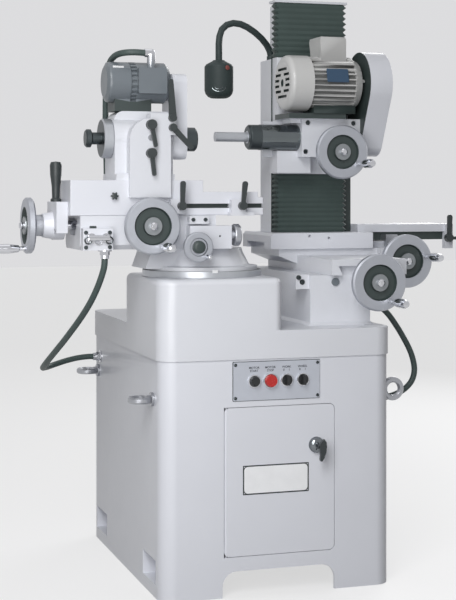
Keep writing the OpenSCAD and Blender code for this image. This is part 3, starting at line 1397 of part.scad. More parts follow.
cabinet();
base_casting();
swivel_seat_ring();
wheel_way_base();
control_panel();
electrical_plate();
lifting_eyes();
door_hinge_pins();
conduit_glands();
left_conduit();
right_conduit();
door();
door_handle();
start_button();
stop_button();
left_selector();
right_selector();
swivel_base();
work_saddle();
work_switch_box();
fine_feed_box();
front_handwheel();
fine_handwheel();
fine_clutch_knob();
work_table();
screw_bracket();
table_handle();
trip_dogs();
left_dog_lever();
right_dog_lever();
table_handwheel();
head_casting();
work_motor();
work_belt_guard();
motor_conduit();
upper_head_lever();
lower_head_lever();
motor_clamp_lever();
guard_clamp_lever();
work_spindle();
work_motor_pulley();
work_belt();
wheel_saddle();
cross_handwheel();
long_slide();
long_handwheel();
column();
stop_lever();
elevating_screw();
wheelhead();
vertical_handwheel();
lower_bellows();
upper_bellows();
wheel_motor();
wheel_belt_guard();
spindle_cartridge();
wheel_spindle();
wheel_motor_pulley();
wheel_belt();
work_lamp();
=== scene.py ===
"""Looks of a tool and cutter grinder on its CAD frame: finishes, conduits, bellows, fittings and studio."""

import json
import math

import bpy
from mathutils import Matrix, Vector


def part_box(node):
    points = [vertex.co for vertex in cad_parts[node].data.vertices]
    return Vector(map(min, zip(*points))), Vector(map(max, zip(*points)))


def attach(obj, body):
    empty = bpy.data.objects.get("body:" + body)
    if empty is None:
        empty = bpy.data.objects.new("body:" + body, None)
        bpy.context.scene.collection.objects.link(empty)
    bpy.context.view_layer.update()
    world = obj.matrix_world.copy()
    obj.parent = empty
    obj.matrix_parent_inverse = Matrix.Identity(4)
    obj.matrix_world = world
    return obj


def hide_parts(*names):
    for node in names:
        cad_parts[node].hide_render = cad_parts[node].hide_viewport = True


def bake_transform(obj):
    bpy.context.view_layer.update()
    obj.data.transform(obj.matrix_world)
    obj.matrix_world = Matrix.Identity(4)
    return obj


MM = 0.001
FRONT = Vector((0, -1, 0))
RIGHT = Vector((1, 0, 0))
UP = Vector((0, 0, 1))

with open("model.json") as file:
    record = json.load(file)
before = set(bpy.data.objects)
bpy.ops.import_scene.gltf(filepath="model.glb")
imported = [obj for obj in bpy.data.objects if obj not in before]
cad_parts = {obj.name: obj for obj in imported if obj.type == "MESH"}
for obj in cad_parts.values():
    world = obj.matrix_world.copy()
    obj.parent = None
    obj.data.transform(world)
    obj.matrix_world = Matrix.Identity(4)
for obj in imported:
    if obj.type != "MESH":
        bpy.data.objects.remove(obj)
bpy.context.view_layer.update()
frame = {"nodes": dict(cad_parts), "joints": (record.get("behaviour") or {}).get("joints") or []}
nodes = frame["nodes"]
pivots = {joint["child"]: joint for joint in frame["joints"] if joint["type"] == "hinge"}


def at(x, y, z):
    """A place given in millimetres."""
    return Vector((x, y, z)) * MM


# Materials, with their sizes in metres

ONE_RING_A_METRE = 0.314
MIX_COLOUR_A, MIX_COLOUR_B, MIX_COLOUR_OUT = 6, 7, 2


def srgb(red, green, blue):
    """A colour given as screen values from 0 to 255."""
    linear = [((v / 255 + 0.055) / 1.055) ** 2.4 if v > 10 else v / 255 / 12.92 for v in (red, green, blue)]
    return (*linear, 1)


class Finish:
    """A Principled material that is put together one effect at a time."""

    def __init__(self, name, colour, roughness, metallic=0.0):
        self.material = bpy.data.materials.new(name)
        self.material.use_nodes = True
        self.tree = self.material.node_tree
        self.shader = self.tree.nodes["Principled BSDF"]
        self.colour = colour
        self.shader.inputs["Base Color"].default_value = colour
        self.shader.inputs["Roughness"].default_value = roughness
        self.shader.inputs["Metallic"].default_value = metallic
        self.place = self.tree.nodes.new("ShaderNodeTexCoord").outputs["Object"]

    def node(self, kind, **inputs):
        """A new shader node, with each input set to a value or linked to a socket."""
        made = self.tree.nodes.new("ShaderNode" + kind)
        for name, value in inputs.items():
            socket = made.inputs[name]
            if isinstance(value, bpy.types.NodeSocket):
                self.tree.links.new(value, socket)
            else:
                socket.default_value = value
        return made

    def noise(self, size, detail=3, stretch=(1, 1, 1)):
        """Cloudy values with spots of about this size."""
        mapped = self.node("Mapping", Vector=self.place, Scale=stretch).outputs[0]
        return self.node("TexNoise", Vector=mapped, Scale=1 / size, Detail=detail).outputs[0]

    def rings(self, centre, axis, pitch):
        """Fine turning marks around an axis through centre."""
        moved = self.node("Mapping", Vector=self.place, Location=-Vector(centre))
        waves = self.node("TexWave", Vector=moved.outputs[0], Scale=ONE_RING_A_METRE / pitch, Distortion=1.2)
        waves.wave_type = "RINGS"
        waves.rings_direction = "XYZ"[max(range(3), key=lambda i: abs(axis[i]))]
        return waves.outputs["Fac"]

    def mottle(self, value, amount):
        """Makes the colour a little lighter and darker."""
        mix = self.tree.nodes.new("ShaderNodeMix")
        mix.data_type = "RGBA"
        self.tree.links.new(value, mix.inputs["Factor"])
        darker = [c * (1 - amount) for c in self.colour[:3]]
        lighter = [min(1, c * (1 + amount)) for c in self.colour[:3]]
        mix.inputs[MIX_COLOUR_A].default_value = (*darker, 1)
        mix.inputs[MIX_COLOUR_B].default_value = (*lighter, 1)
        self.tree.links.new(mix.outputs[MIX_COLOUR_OUT], self.shader.inputs["Base Color"])
        return self

    def gloss(self, value, low, high):
        """Lets the roughness go from low to high."""
        spread = self.node("MapRange", Value=value)
        spread.inputs["To Min"].default_value = low
        spread.inputs["To Max"].default_value = high
        self.tree.links.new(spread.outputs[0], self.shader.inputs["Roughness"])
        return self

    def bump(self, value, height, strength):
        made = self.node("Bump", Height=value, Distance=height, Strength=strength)
        self.tree.links.new(made.outputs[0], self.shader.inputs["Normal"])
        return self

    def set(self, **sockets):
        for name, value in sockets.items():
            self.shader.inputs[name.replace("_", " ")].default_value = value
        return self


def enamel(name, colour, grain=0.004, height=0.0002):
    """Sprayed machine enamel over a filled casting."""
    made = Finish(name, colour, roughness=0.4)
    made.mottle(made.noise(size=0.18, detail=4), amount=0.035)
    made.gloss(made.noise(size=0.03), low=0.30, high=0.46)
    made.bump(made.noise(size=grain, detail=2), height, strength=0.35)
    return made.set(Coat_Weight=0.15).material


def metal(name, colour, low, high, grain=(1, 1, 1), metallic=1.0):
    """Ground or polished metal with faint scratches along one direction."""
    made = Finish(name, colour, low, metallic)
    scratches = made.noise(size=0.004, detail=4, stretch=grain)
    made.mottle(made.noise(size=0.03), amount=0.06)
    made.gloss(scratches, low, high)
    return made.bump(scratches, height=0.00005, strength=0.3).material


def turned(name, colour, centre, axis):
    """Metal with fine turning marks round an axis."""
    made = Finish(name, colour, roughness=0.32, metallic=0.85)
    marks = made.rings(centre, axis, pitch=0.0011)
    made.mottle(made.noise(size=0.02), amount=0.05)
    made.gloss(made.noise(size=0.012, detail=4), low=0.32, high=0.48)
    return made.bump(marks, height=0.00006, strength=0.35).material


def moulded(name, colour, low, high, height=0.00006):
    """Plastic, rubber or thick enamel with a fine grain."""
    made = Finish(name, colour, low)
    made.mottle(made.noise(size=0.05), amount=0.08)
    made.gloss(made.noise(size=0.01), low, high)
    return made.bump(made.noise(size=0.0012, detail=2), height, strength=0.4).material


def cloth(name, colour):
    """Coated cloth with a fine weave."""
    made = Finish(name, colour, roughness=0.6)
    weave = made.node("TexVoronoi", Vector=made.place, Scale=700.0).outputs["Distance"]
    made.mottle(made.noise(size=0.05, detail=4), amount=0.16)
    made.gloss(made.noise(size=0.02), low=0.5, high=0.72)
    made.bump(weave, height=0.0003, strength=0.5)
    return made.set(Sheen_Weight=0.15).material


ALONG_X = (6, 1, 1)
BRUSHED = (0.08, 1, 4)
SMOOTH = 0.00003
PAINT = enamel("machine_enamel", srgb(219, 221, 228))
CAST_PAINT = enamel("cast_enamel", srgb(217, 219, 225), grain=0.007, height=0.0004)
PALE_MOTOR = enamel("pale_motor_enamel", srgb(201, 201, 200), grain=0.003)
# Painted shade for the floors of the grooves between the wheel motor's fins
MOTOR_GROOVE_SHADE = enamel("motor_groove_painted_shade", srgb(102, 103, 102), grain=0.003)
SLATE_MOTOR = enamel("slate_motor_enamel", srgb(110, 117, 123), grain=0.003)
DARK_PAINT_AND_SHADE = moulded("dark_enamel_and_painted_shade", srgb(52, 62, 61), 0.38, 0.52)
BLACK = moulded("black_lever", srgb(46, 52, 53), 0.34, 0.5)
LAMP_ENAMEL = moulded("lamp_enamel", srgb(38, 50, 50), 0.55, 0.7)
BLACK_PLASTIC = moulded("black_switch", srgb(30, 32, 34), 0.22, 0.36, SMOOTH)
RED_PLASTIC = moulded("red_switch", srgb(186, 42, 38), 0.2, 0.34, SMOOTH)
DULL_RED = moulded("dull_red_switch", srgb(126, 64, 58), 0.4, 0.55, SMOOTH)
STEEL = metal("ground_steel", srgb(170, 172, 177), 0.22, 0.38, ALONG_X, metallic=0.85)
DARK_STEEL_AND_SHADE = metal("blued_steel_and_painted_shade", srgb(78, 84, 86), 0.3, 0.46)
GUN_STEEL = metal("gun_steel", srgb(112, 118, 120), 0.1, 0.18, ALONG_X)
BRIGHT_STEEL = metal("bright_steel", srgb(182, 185, 190), 0.26, 0.4, metallic=0.55)
HUB_STEEL = metal("hub_steel", srgb(142, 146, 149), 0.3, 0.46, metallic=0.7)
CHROME = metal("polished_chrome", srgb(205, 206, 210), 0.08, 0.18)
DARK_CHROME = metal("dark_chrome", srgb(70, 74, 76), 0.1, 0.2)
SMOKED_CHROME = metal("smoked_chrome", srgb(122, 126, 130), 0.05, 0.12)
PANEL = metal("brushed_panel", srgb(190, 194, 203), 0.34, 0.5, BRUSHED, metallic=0.4)
BELLOWS = cloth("bellows_cloth", srgb(54, 69, 66))
SHEATH = moulded("conduit_sheath", srgb(62, 76, 74), 0.45, 0.6)
BELT = moulded("belt_rubber", srgb(34, 34, 34), 0.6, 0.75)
PLATE = metal("plate_enamel", srgb(240, 241, 243), 0.3, 0.42, metallic=0.1)
BLUE_PLATE = moulded("blue_plate", srgb(50, 76, 102), 0.25, 0.4, height=0.00002)
INK = moulded("dark_ink", srgb(40, 44, 50), 0.5, 0.65)
GLASS = moulded("frosted_lens", srgb(214, 216, 212), 0.2, 0.3, SMOOTH)
RIM_GREY = srgb(174, 177, 184)

NODE_FINISH = {
    CAST_PAINT: ["base_casting", "swivel_base", "head_casting", "wheel_way_base", "wheel_saddle",
                 "work_saddle", "wheelhead", "column"],
    PAINT: ["cabinet", "door", "work_switch_box", "fine_feed_box", "work_table", "screw_bracket", "trip_dogs",
            "work_belt_guard", "long_slide", "wheel_belt_guard"],
    STEEL: ["lifting_eyes", "door_hinge_pins", "fine_clutch_knob", "work_motor_pulley", "elevating_screw",
            "wheel_motor_pulley"],
    BRIGHT_STEEL: ["swivel_seat_ring", "wheel_spindle", "work_spindle"],
    GUN_STEEL: ["spindle_cartridge"],
    PANEL: ["control_panel", "electrical_plate"],
    CHROME: ["conduit_glands"],
    DARK_CHROME: ["door_handle"],
    BLACK: ["table_handle", "left_dog_lever", "right_dog_lever", "upper_head_lever", "lower_head_lever",
            "motor_clamp_lever", "guard_clamp_lever", "stop_lever"],
    LAMP_ENAMEL: ["work_lamp"],
    BLACK_PLASTIC: ["start_button", "left_selector", "right_selector"],
    RED_PLASTIC: ["stop_button"],
    SLATE_MOTOR: ["work_motor"],
    PALE_MOTOR: ["wheel_motor"],
    BELT: ["work_belt", "wheel_belt"],
}

# How far edges are rounded, in millimetres
EDGE = {"cabinet": 2.5, "base_casting": 4, "work_table": 2, "work_saddle": 3, "head_casting": 4,
        "wheel_saddle": 3, "long_slide": 2.5, "wheelhead": 3, "column": 3, "wheel_way_base": 3,
        "screw_bracket": 3, "swivel_base": 2, "work_belt_guard": 2, "wheel_belt_guard": 4,
        "fine_feed_box": 2, "work_switch_box": 2, "trip_dogs": 1.5}
PLAIN_EDGE = 0.6
EDGE_STEPS = 3
WELD_GAP = 0.00002
ROUNDED_FROM = math.radians(38)
SHARP_FROM = math.radians(35)


def dress(name, finish):
    """Gives a CAD node its finish and rounds its sharp edges a little."""
    thing = nodes[name]
    thing.data.materials.clear()
    thing.data.materials.append(finish)
    weld = thing.modifiers.new("weld", "WELD")
    weld.merge_threshold = WELD_GAP
    bevel = thing.modifiers.new("edge", "BEVEL")
    bevel.width = EDGE.get(name, PLAIN_EDGE) * MM
    bevel.segments = EDGE_STEPS
    bevel.limit_method = "ANGLE"
    bevel.angle_limit = ROUNDED_FROM
    bevel.use_clamp_overlap = True
    thing.data.set_sharp_from_angle(angle=SHARP_FROM)
    normals = thing.modifiers.new("normals", "WEIGHTED_NORMAL")
    normals.keep_sharp = True


for finish, names in NODE_FINISH.items():
    for name in names:
        dress(name, finish)


def paint_faces(name, finish, chosen):
    """Gives the faces of a CAD node for which chosen(centre, normal) holds another finish."""
    mesh = nodes[name].data
    mesh.materials.append(finish)
    index = len(mesh.materials) - 1
    for face in mesh.polygons:
        if chosen(face.center, face.normal):
            face.material_index = index


# Handwheels: turned rim, dark dish, steel hub, polished nut and handle

WHEELS = ["front_handwheel", "table_handwheel", "cross_handwheel", "long_handwheel", "vertical_handwheel"]
DISH = (23.5 * MM, 48.5 * MM)
DISH_FLOOR = 36 * MM
RIM_FACE = 46 * MM
NUT_R = 10.5 * MM
FINE_HUB_R = 17.4 * MM
FINE_HUB_H = 22.5 * MM
FINE_GRIP_H = 28 * MM


def out_and_round(name):
    """A wheel's centre and outward axis, and a function that gives a point's height along it and radius."""
    joint = pivots[name]
    centre = Vector(joint["pos_m"])
    outward = -Vector(joint["axis"])

    def measure(point):
        height = (point - centre).dot(outward)
        return height, (point - centre - outward * height).length

    return centre, outward, measure


def dress_wheel(name):
    centre, outward, measure = out_and_round(name)

    def dished(point, _):
        height, radius = measure(point)
        return DISH[0] < radius < DISH[1] and DISH_FLOOR < height < RIM_FACE

    def hubbed(point, _):
        height, radius = measure(point)
        return radius < DISH[0] and height > 0

    def polished(point, _):
        """The nut, the handle and the shaft behind the wheel."""
        height, radius = measure(point)
        nut = radius < NUT_R and height > RIM_FACE
        grip = radius > DISH[0] and height > RIM_FACE + MM
        return nut or grip or height < 0

    dress(name, turned(name + "_rim", RIM_GREY, centre, outward))
    paint_faces(name, DARK_PAINT_AND_SHADE, dished)
    paint_faces(name, HUB_STEEL, hubbed)
    paint_faces(name, CHROME, polished)


def dress_fine_wheel(name):
    centre, outward, measure = out_and_round(name)

    def hubbed(point, _):
        height, radius = measure(point)
        return radius < FINE_HUB_R and height > FINE_HUB_H

    def polished(point, _):
        height, radius = measure(point)
        return radius > FINE_HUB_R and height > FINE_GRIP_H

    dress(name, turned(name + "_rim", RIM_GREY, centre, outward))
    paint_faces(name, DARK_PAINT_AND_SHADE, hubbed)
    paint_faces(name, CHROME, polished)


for name in WHEELS:
    dress_wheel(name)
dress_fine_wheel("fine_handwheel")


# Wheel side's nodes with two finishes. TOUCH is how near a face is to the plane that it counts as lying in,
# and FACES is how much of its normal points the way that it counts as looking

TOUCH = MM
FACES = 0.9

guard_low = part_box("wheel_belt_guard")[0]


def guard_inside(point, normal):
    return normal.x < -FACES and point.x < guard_low.x + TOUCH


paint_faces("wheel_belt_guard", DARK_PAINT_AND_SHADE, guard_inside)

wheel_motor_low, wheel_motor_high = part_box("wheel_motor")
motor_axis = Vector(pivots["wheel_motor_pulley"]["pos_m"])
VENT_DEPTH = (0.4 * MM, 8.6 * MM)
VENT_R = 62 * MM
FAN_COVER = 70 * MM
MOTOR_FOOT_UP = 18 * MM
GROOVE_R = 70 * MM
END_BELL = 24 * MM


def from_motor_axis(point):
    return math.hypot(point.y - motor_axis.y, point.z - motor_axis.z)


# Painted shade: the insides of the fan cover's vent slots and the foot under the wheel motor are painted dark
def vent_and_foot_shade(point, _):
    inward = point.x - wheel_motor_low.x
    vent = VENT_DEPTH[0] < inward < VENT_DEPTH[1] and from_motor_axis(point) < VENT_R
    foot = inward > FAN_COVER and point.z < wheel_motor_low.z + MOTOR_FOOT_UP
    return vent or foot


# Painted shade: the groove floors between the fins are painted darker than the motor's enamel
def fin_groove_shade(point, _):
    finned = wheel_motor_low.x + FAN_COVER < point.x < wheel_motor_high.x - END_BELL
    return finned and from_motor_axis(point) < GROOVE_R


paint_faces("wheel_motor", DARK_PAINT_AND_SHADE, vent_and_foot_shade)
paint_faces("wheel_motor", MOTOR_GROOVE_SHADE, fin_groove_shade)

cartridge_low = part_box("spindle_cartridge")[0]
CARTRIDGE_COLLAR = 35.5 * MM
paint_faces("spindle_cartridge", DARK_STEEL_AND_SHADE, lambda point, _: point.x < cartridge_low.x + CARTRIDGE_COLLAR)

MOTOR_SEAT_T = 14 * MM
MOTOR_SEAT_PLAY = 0.1 * MM
HOUSING_BACK = 18 * MM


def motor_seat_shade(point, _):
    """The plate that the wheel motor stands on, painted dark as the shade under the motor."""
    height = point.z - wheel_motor_low.z
    in_plate = -MOTOR_SEAT_T - MOTOR_SEAT_PLAY < height < MOTOR_SEAT_PLAY
    return in_plate and point.y < HOUSING_BACK and point.x < wheel_motor_high.x


paint_faces("wheelhead", DARK_PAINT_AND_SHADE, motor_seat_shade)

column_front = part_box("upper_bellows")[1].y


def behind_bellows(point, normal):
    return normal.y < -FACES and abs(point.y - column_front) < TOUCH


paint_faces("column", DARK_PAINT_AND_SHADE, behind_bellows)

ARM_FRONT = 20 * MM
HOOK_X = (471 * MM, 510 * MM)
HOOK_TOP = 924 * MM
ARM_X = HOOK_X[0] - 90 * MM


def arm_front(point, normal):
    return normal.y < -FACES and abs(point.y - ARM_FRONT) < TOUCH and point.x > ARM_X


def stop_hook(point, _):
    return HOOK_X[0] < point.x < HOOK_X[1] and point.z < HOOK_TOP and point.y < ARM_FRONT - TOUCH


paint_faces("long_slide", DARK_PAINT_AND_SHADE, arm_front)
paint_faces("long_slide", STEEL, stop_hook)

OIL_CAP = at(197, -304, 805)
OIL_CAP_REACH = 13 * MM
OIL_CAP_DEPTH = 3.9 * MM


def oil_cap(point, _):
    return (point - OIL_CAP).length < OIL_CAP_REACH and point.y < OIL_CAP.y + OIL_CAP_DEPTH


paint_faces("wheel_way_base", SLATE_MOTOR, oil_cap)

lamp_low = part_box("work_lamp")[0]
LENS_IN = 6 * MM
LENS_PLAY = 2 * MM


def lens(point, normal):
    return normal.z < -FACES and abs(point.z - lamp_low.z - LENS_IN) < LENS_PLAY


paint_faces("work_lamp", GLASS, lens)


# Work side's nodes with two finishes

spindle_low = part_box("work_spindle")[0]
work_guard_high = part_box("work_belt_guard")[1]
FLANGE_OUT = 42 * MM
FLANGE_FACES = 0.5


def blackened(point, normal):
    """The knob, the flange's face and the nose, but not the flange's ground rim."""
    out = point.x - spindle_low.x
    knob = out < FLANGE_OUT - TOUCH
    flange_face = out < FLANGE_OUT + TOUCH and normal.x < -FLANGE_FACES
    nose = point.x > work_guard_high.x
    return knob or flange_face or nose


paint_faces("work_spindle", DARK_STEEL_AND_SHADE, blackened)

table_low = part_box("work_table")[0]
groove_z = pivots["right_dog_lever"]["pos_m"][2]
GROOVE_DEPTH = 12.5 * MM
GROOVE_HALF = 6 * MM


# Painted shade: the inside of the table's groove is painted dark
def groove_shade(point, _):
    return abs(point.z - groove_z) < GROOVE_HALF and TOUCH < point.y - table_low.y < GROOVE_DEPTH


paint_faces("work_table", DARK_PAINT_AND_SHADE, groove_shade)

work_motor_low, work_motor_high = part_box("work_motor")
work_motor_axis = Vector(pivots["work_motor_pulley"]["pos_m"])
WORK_MOTOR_R = 54 * MM
UNDERSIDE_SHADE = 0.98
ELBOW_H = 36 * MM
ELBOW_DEPTH = 30 * MM


def conduit_elbow(point, _):
    return point.z > work_motor_high.z - ELBOW_H and point.y < work_motor_low.y + ELBOW_DEPTH


paint_faces("work_motor", CHROME, conduit_elbow)
# The bottom of the work motor is painted dark: painted shade under the motor, and the dark paint of its foot
paint_faces("work_motor", DARK_PAINT_AND_SHADE, lambda point, _: point.z < work_motor_axis.z - UNDERSIDE_SHADE * WORK_MOTOR_R)
# Painted shade: the seat ring's top faces are painted dark for the shadow gap under the swivel base
paint_faces("swivel_seat_ring", DARK_STEEL_AND_SHADE, lambda _, normal: normal.z > FACES)

switch_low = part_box("work_switch_box")[0]
saddle_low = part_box("work_saddle")[0]
SWITCH_PROUD = 16 * MM


def switch_brightwork(point, _):
    """The gland below the box and what stands proud of its plate."""
    return point.z < saddle_low.z or point.y < switch_low.y + SWITCH_PROUD


paint_faces("work_switch_box", CHROME, switch_brightwork)


# Making new pieces

PIECE_SHARP_FROM = math.radians(40)
CORNER_STEPS = 6
SLAB_CHAMFER = 0.4
SOCKET_MIDDLE = 0.1 * MM
SOCKET_FLOOR = 0.3
# A screw's head: reach and height as shares of its radius, from its foot to the edge of the socket's floor
SCREW_HEAD = ((1, 0), (1, 0.8), (0.85, 1), (0.55, 1), (0.5, SOCKET_FLOOR))


def piece(name, points, faces, finish, body, slot, smooth=True):
    """A new mesh with one finish, tied to the body when one is given."""
    mesh = bpy.data.meshes.new(name)
    mesh.from_pydata(points, [], faces)
    mesh.validate()
    mesh.materials.append(finish)
    made = bpy.data.objects.new(name, mesh)
    bpy.context.scene.collection.objects.link(made)
    if smooth:
        mesh.shade_smooth()
        mesh.set_sharp_from_angle(angle=PIECE_SHARP_FROM)
    if body:
        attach(made, body)
    return made


def facing(origin, outward):
    """A frame with its Z along outward and its Y as near to up as that allows."""
    z = Vector(outward).normalized()
    x = UP.cross(z).normalized()
    turn = Matrix((x, z.cross(x), z)).transposed().to_4x4()
    return Matrix.Translation(origin) @ turn


def skin(rows, sides, start=0):
    """Faces round a stack of rings that have the same number of points, closed at both ends."""
    faces = []
    for row in range(rows - 1):
        for i in range(sides):
            a = start + row * sides + i
            b = start + row * sides + (i + 1) % sides
            faces.append((a, b, b + sides, a + sides))
    last = start + (rows - 1) * sides
    faces.append(tuple(start + i for i in reversed(range(sides))))
    faces.append(tuple(last + i for i in range(sides)))
    return faces


def in_mm(*pairs):
    """A profile whose radii and heights are given in millimetres."""
    return [(radius * MM, height * MM) for radius, height in pairs]


def lathe(profile, places, sides):
    """Points and faces of one profile of (radius, height), turned at each of the places."""
    points, faces = [], []
    for place in places:
        faces += skin(len(profile), sides, len(points))
        for radius, height in profile:
            for i in range(sides):
                angle = math.tau * i / sides
                points.append(place @ Vector((radius * math.cos(angle), radius * math.sin(angle), height)))
    return points, faces


def open_ring(profile, spot, sides):
    """Points and faces of a closed profile turned round a hole that faces the front."""
    points, faces = lathe(profile, [facing(spot, FRONT)], sides)
    return points, faces[:-2]


def slab(place, width, height, thickness, corner):
    """Points and faces of a plate with round corners and a small chamfer, its back on the place's floor."""
    outline = []
    for sx, sy, turn in ((1, 1, 0), (-1, 1, 90), (-1, -1, 180), (1, -1, 270)):
        x, y = sx * (width / 2 - corner), sy * (height / 2 - corner)
        for i in range(CORNER_STEPS + 1):
            angle = math.radians(turn + 90 * i / CORNER_STEPS)
            outline.append((x, y, math.cos(angle), math.sin(angle)))
    chamfer = min(thickness, corner) * SLAB_CHAMFER
    rings = ((0, 0), (0, thickness - chamfer), (chamfer, thickness))
    points = []
    for inset, z in rings:
        for x, y, dx, dy in outline:
            points.append(place @ Vector((x + dx * (corner - inset), y + dy * (corner - inset), z)))
    return points, skin(len(rings), len(outline))


def join(*parts):
    points, faces = [], []
    for some_points, some_faces in parts:
        start = len(points)
        points += some_points
        faces += [tuple(start + i for i in face) for face in some_faces]
    return points, faces


def small_plate(name, place, size, finish, body, slot):
    """A plate whose width, height, thickness and corner radius are given in millimetres."""
    piece(name, *slab(place, *[value * MM for value in size]), finish, body, slot)


def socket_screws(name, spots, radius, body):
    """Cap screws with a socket, standing on the spots and facing the front."""
    head = [(radius * reach, radius * rise) for reach, rise in SCREW_HEAD]
    head.append((SOCKET_MIDDLE, radius * SOCKET_FLOOR))
    shape = lathe(head, [facing(spot, FRONT) for spot in spots], sides=16)
    piece(name, *shape, DARK_STEEL_AND_SHADE, body, "steel")


def smooth_route(route, per_span):
    """Points on a smooth curve through the route."""
    found = []
    last = len(route) - 1
    for i in range(last):
        before, start, end, after = (route[max(0, min(k, last))] for k in (i - 1, i, i + 1, i + 2))
        slope = end - before
        bend = 2 * before - 5 * start + 4 * end - after
        twist = 3 * start - before - 3 * end + after
        for step in range(per_span):
            t = step / per_span
            found.append(0.5 * (2 * start + slope * t + bend * t ** 2 + twist * t ** 3))
    return found + [route[-1]]


def ribbed_tube(route, diameter, rib=0.3 * MM, sides=14):
    """A tube along the route, with a shallow rib at every second ring."""
    points = []
    side = None
    for i, centre in enumerate(route):
        along = (route[min(i + 1, len(route) - 1)] - route[max(i - 1, 0)]).normalized()
        side = along.orthogonal() if side is None else side - along * side.dot(along)
        side.normalize()
        across = along.cross(side)
        radius = diameter / 2 - rib * (i % 2)
        for k in range(sides):
            angle = math.tau * k / sides
            points.append(centre + radius * (math.cos(angle) * side + math.sin(angle) * across))
    return points, skin(len(route), sides)


# Conduits, along the CAD's own routes in millimetres

CONDUIT_D = 17 * MM
SPAN_STEPS = 16
LEFT_ROUTE = [(-449, -325, 878), (-450, -321, 855), (-455, -309, 828), (-462, -290, 798), (-471, -264, 766),
              (-481, -231, 735), (-492, -192, 704), (-503, -149, 674), (-513, -103, 645), (-522, -55, 618),
              (-528, -5, 594), (-531, 46, 573), (-529, 97, 557), (-523, 147, 546), (-511, 193, 540),
              (-491, 233, 538), (-463, 264, 541), (-430, 284, 547), (-395, 293, 553), (-363, 295, 556),
              (-345, 295, 556)]
RIGHT_ROUTE = [(325, -200, 745), (345, -200, 741), (370, -200, 728), (397, -200, 705), (423, -200, 671),
               (446, -200, 635), (465, -200, 600), (476, -200, 568), (479, -200, 540), (472, -200, 515),
               (456, -200, 496), (434, -200, 482), (408, -200, 473), (378, -200, 468), (347, -200, 467)]
MOTOR_ROUTE = [(-333, -282, 1414), (-352, -281, 1415), (-371, -276, 1415), (-386, -264, 1414),
               (-395, -245, 1412), (-400, -222, 1408), (-404, -196, 1398), (-406, -172, 1378),
               (-405, -152, 1346), (-404, -138, 1304), (-402, -127, 1258), (-400, -118, 1212),
               (-397, -111, 1168), (-395, -107, 1130), (-394, -105, 1098)]


def conduit(name, node, route, *bodies):
    """A flexible conduit that stands for a CAD node. With one body it is tied to it; with two it is tied to
    neither and stays where it is drawn.
    """
    path = smooth_route([at(*point) for point in route], SPAN_STEPS)
    bends = len(bodies) > 1
    made = piece(name, *ribbed_tube(path, CONDUIT_D), SHEATH, None if bends else bodies[0], "conduit")
    if bends:
        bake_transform(made)
    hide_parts(node)


conduit("left_conduit_sheath", "left_conduit", LEFT_ROUTE, "swivel", "base")
conduit("right_conduit_sheath", "right_conduit", RIGHT_ROUTE, "base")
conduit("motor_conduit_sheath", "motor_conduit", MOTOR_ROUTE, "table")


# Bellows with folded pleats

SIDE_FOLD = 9 * MM
FRONT_FOLD = 2.2 * MM
FOLD_CORNER = 5 * MM
# One pleat: shares of its height, and how far the cloth has come out there
FOLD = ((0.0, 0.0), (0.08, 0.14), (0.42, 0.88), (0.5, 1.0), (0.58, 0.88), (0.92, 0.14))
FULLNESS = 0.93
FULLNESS_SPREAD = 0.07
FULLNESS_TURN = 2.4


def bellows(name, node, pleats):
    """Cloth pleats with round backs and narrow creases, deep at the sides and shallow in front."""
    low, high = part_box(node)
    pitch = (high.z - low.z) / pleats
    rows = []
    for i in range(pleats):
        fullness = FULLNESS + FULLNESS_SPREAD * math.sin(FULLNESS_TURN * i)
        rows += [(low.z + (i + share) * pitch, rise * fullness) for share, rise in FOLD]
    rows.append((high.z, 0.0))
    points = []
    for z, rise in rows:
        side, front = SIDE_FOLD * (1 - rise), FRONT_FOLD * (1 - rise)
        left, right, near = low.x + side, high.x - side, low.y + front
        outline = ((left, high.y), (left, near + FOLD_CORNER), (left + FOLD_CORNER, near),
                   (right - FOLD_CORNER, near), (right, near + FOLD_CORNER), (right, high.y))
        points += [Vector((x, y, z)) for x, y in outline]
    made = piece(name, points, skin(len(rows), len(outline)), BELLOWS, None, "bellows")
    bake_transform(made)
    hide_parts(node)


bellows("lower_bellows_cloth", "lower_bellows", 12)
bellows("upper_bellows_cloth", "upper_bellows", 10)


# Door plate and handle

door_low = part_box("door")[0]
PLATE_W, PLATE_H = 182 * MM, 76 * MM
PLATE_MIDDLE = Vector((-9 * MM, door_low.y, 301 * MM))
PLATE_RIM_T = 1.2 * MM
PLATE_RIM_CORNER = 1.5 * MM
PLATE_MARGIN = 6.5 * MM
PLATE_T = 1.8 * MM
PLATE_CORNER = 10 * MM
RIVET_IN = 4 * MM
RIVET = in_mm((2, 0), (1.68, 0.88), (0.8, 1.36))
HANDLE_ROSE = 25 * MM

plate_place = facing(PLATE_MIDDLE, FRONT)
plate_rim = slab(plate_place, PLATE_W, PLATE_H, PLATE_RIM_T, PLATE_RIM_CORNER)
plate_face = slab(plate_place, PLATE_W - PLATE_MARGIN, PLATE_H - PLATE_MARGIN, PLATE_T, PLATE_CORNER)
piece("door_plate_rim", *plate_rim, BLACK, "door", "steel")
piece("door_plate", *plate_face, PLATE, "door", "panel")
rivets = [PLATE_MIDDLE + Vector((sx * (PLATE_W / 2 - RIVET_IN), -PLATE_RIM_T, sz * (PLATE_H / 2 - RIVET_IN)))
          for sx in (-1, 1) for sz in (-1, 1)]
rivet_heads = lathe(RIVET, [facing(spot, FRONT) for spot in rivets], sides=12)
piece("door_plate_rivets", *rivet_heads, STEEL, "door", "steel")
paint_faces("door_handle", SMOKED_CHROME, lambda point, _: point.y > door_low.y - HANDLE_ROSE)


# Control panel's fittings and labels

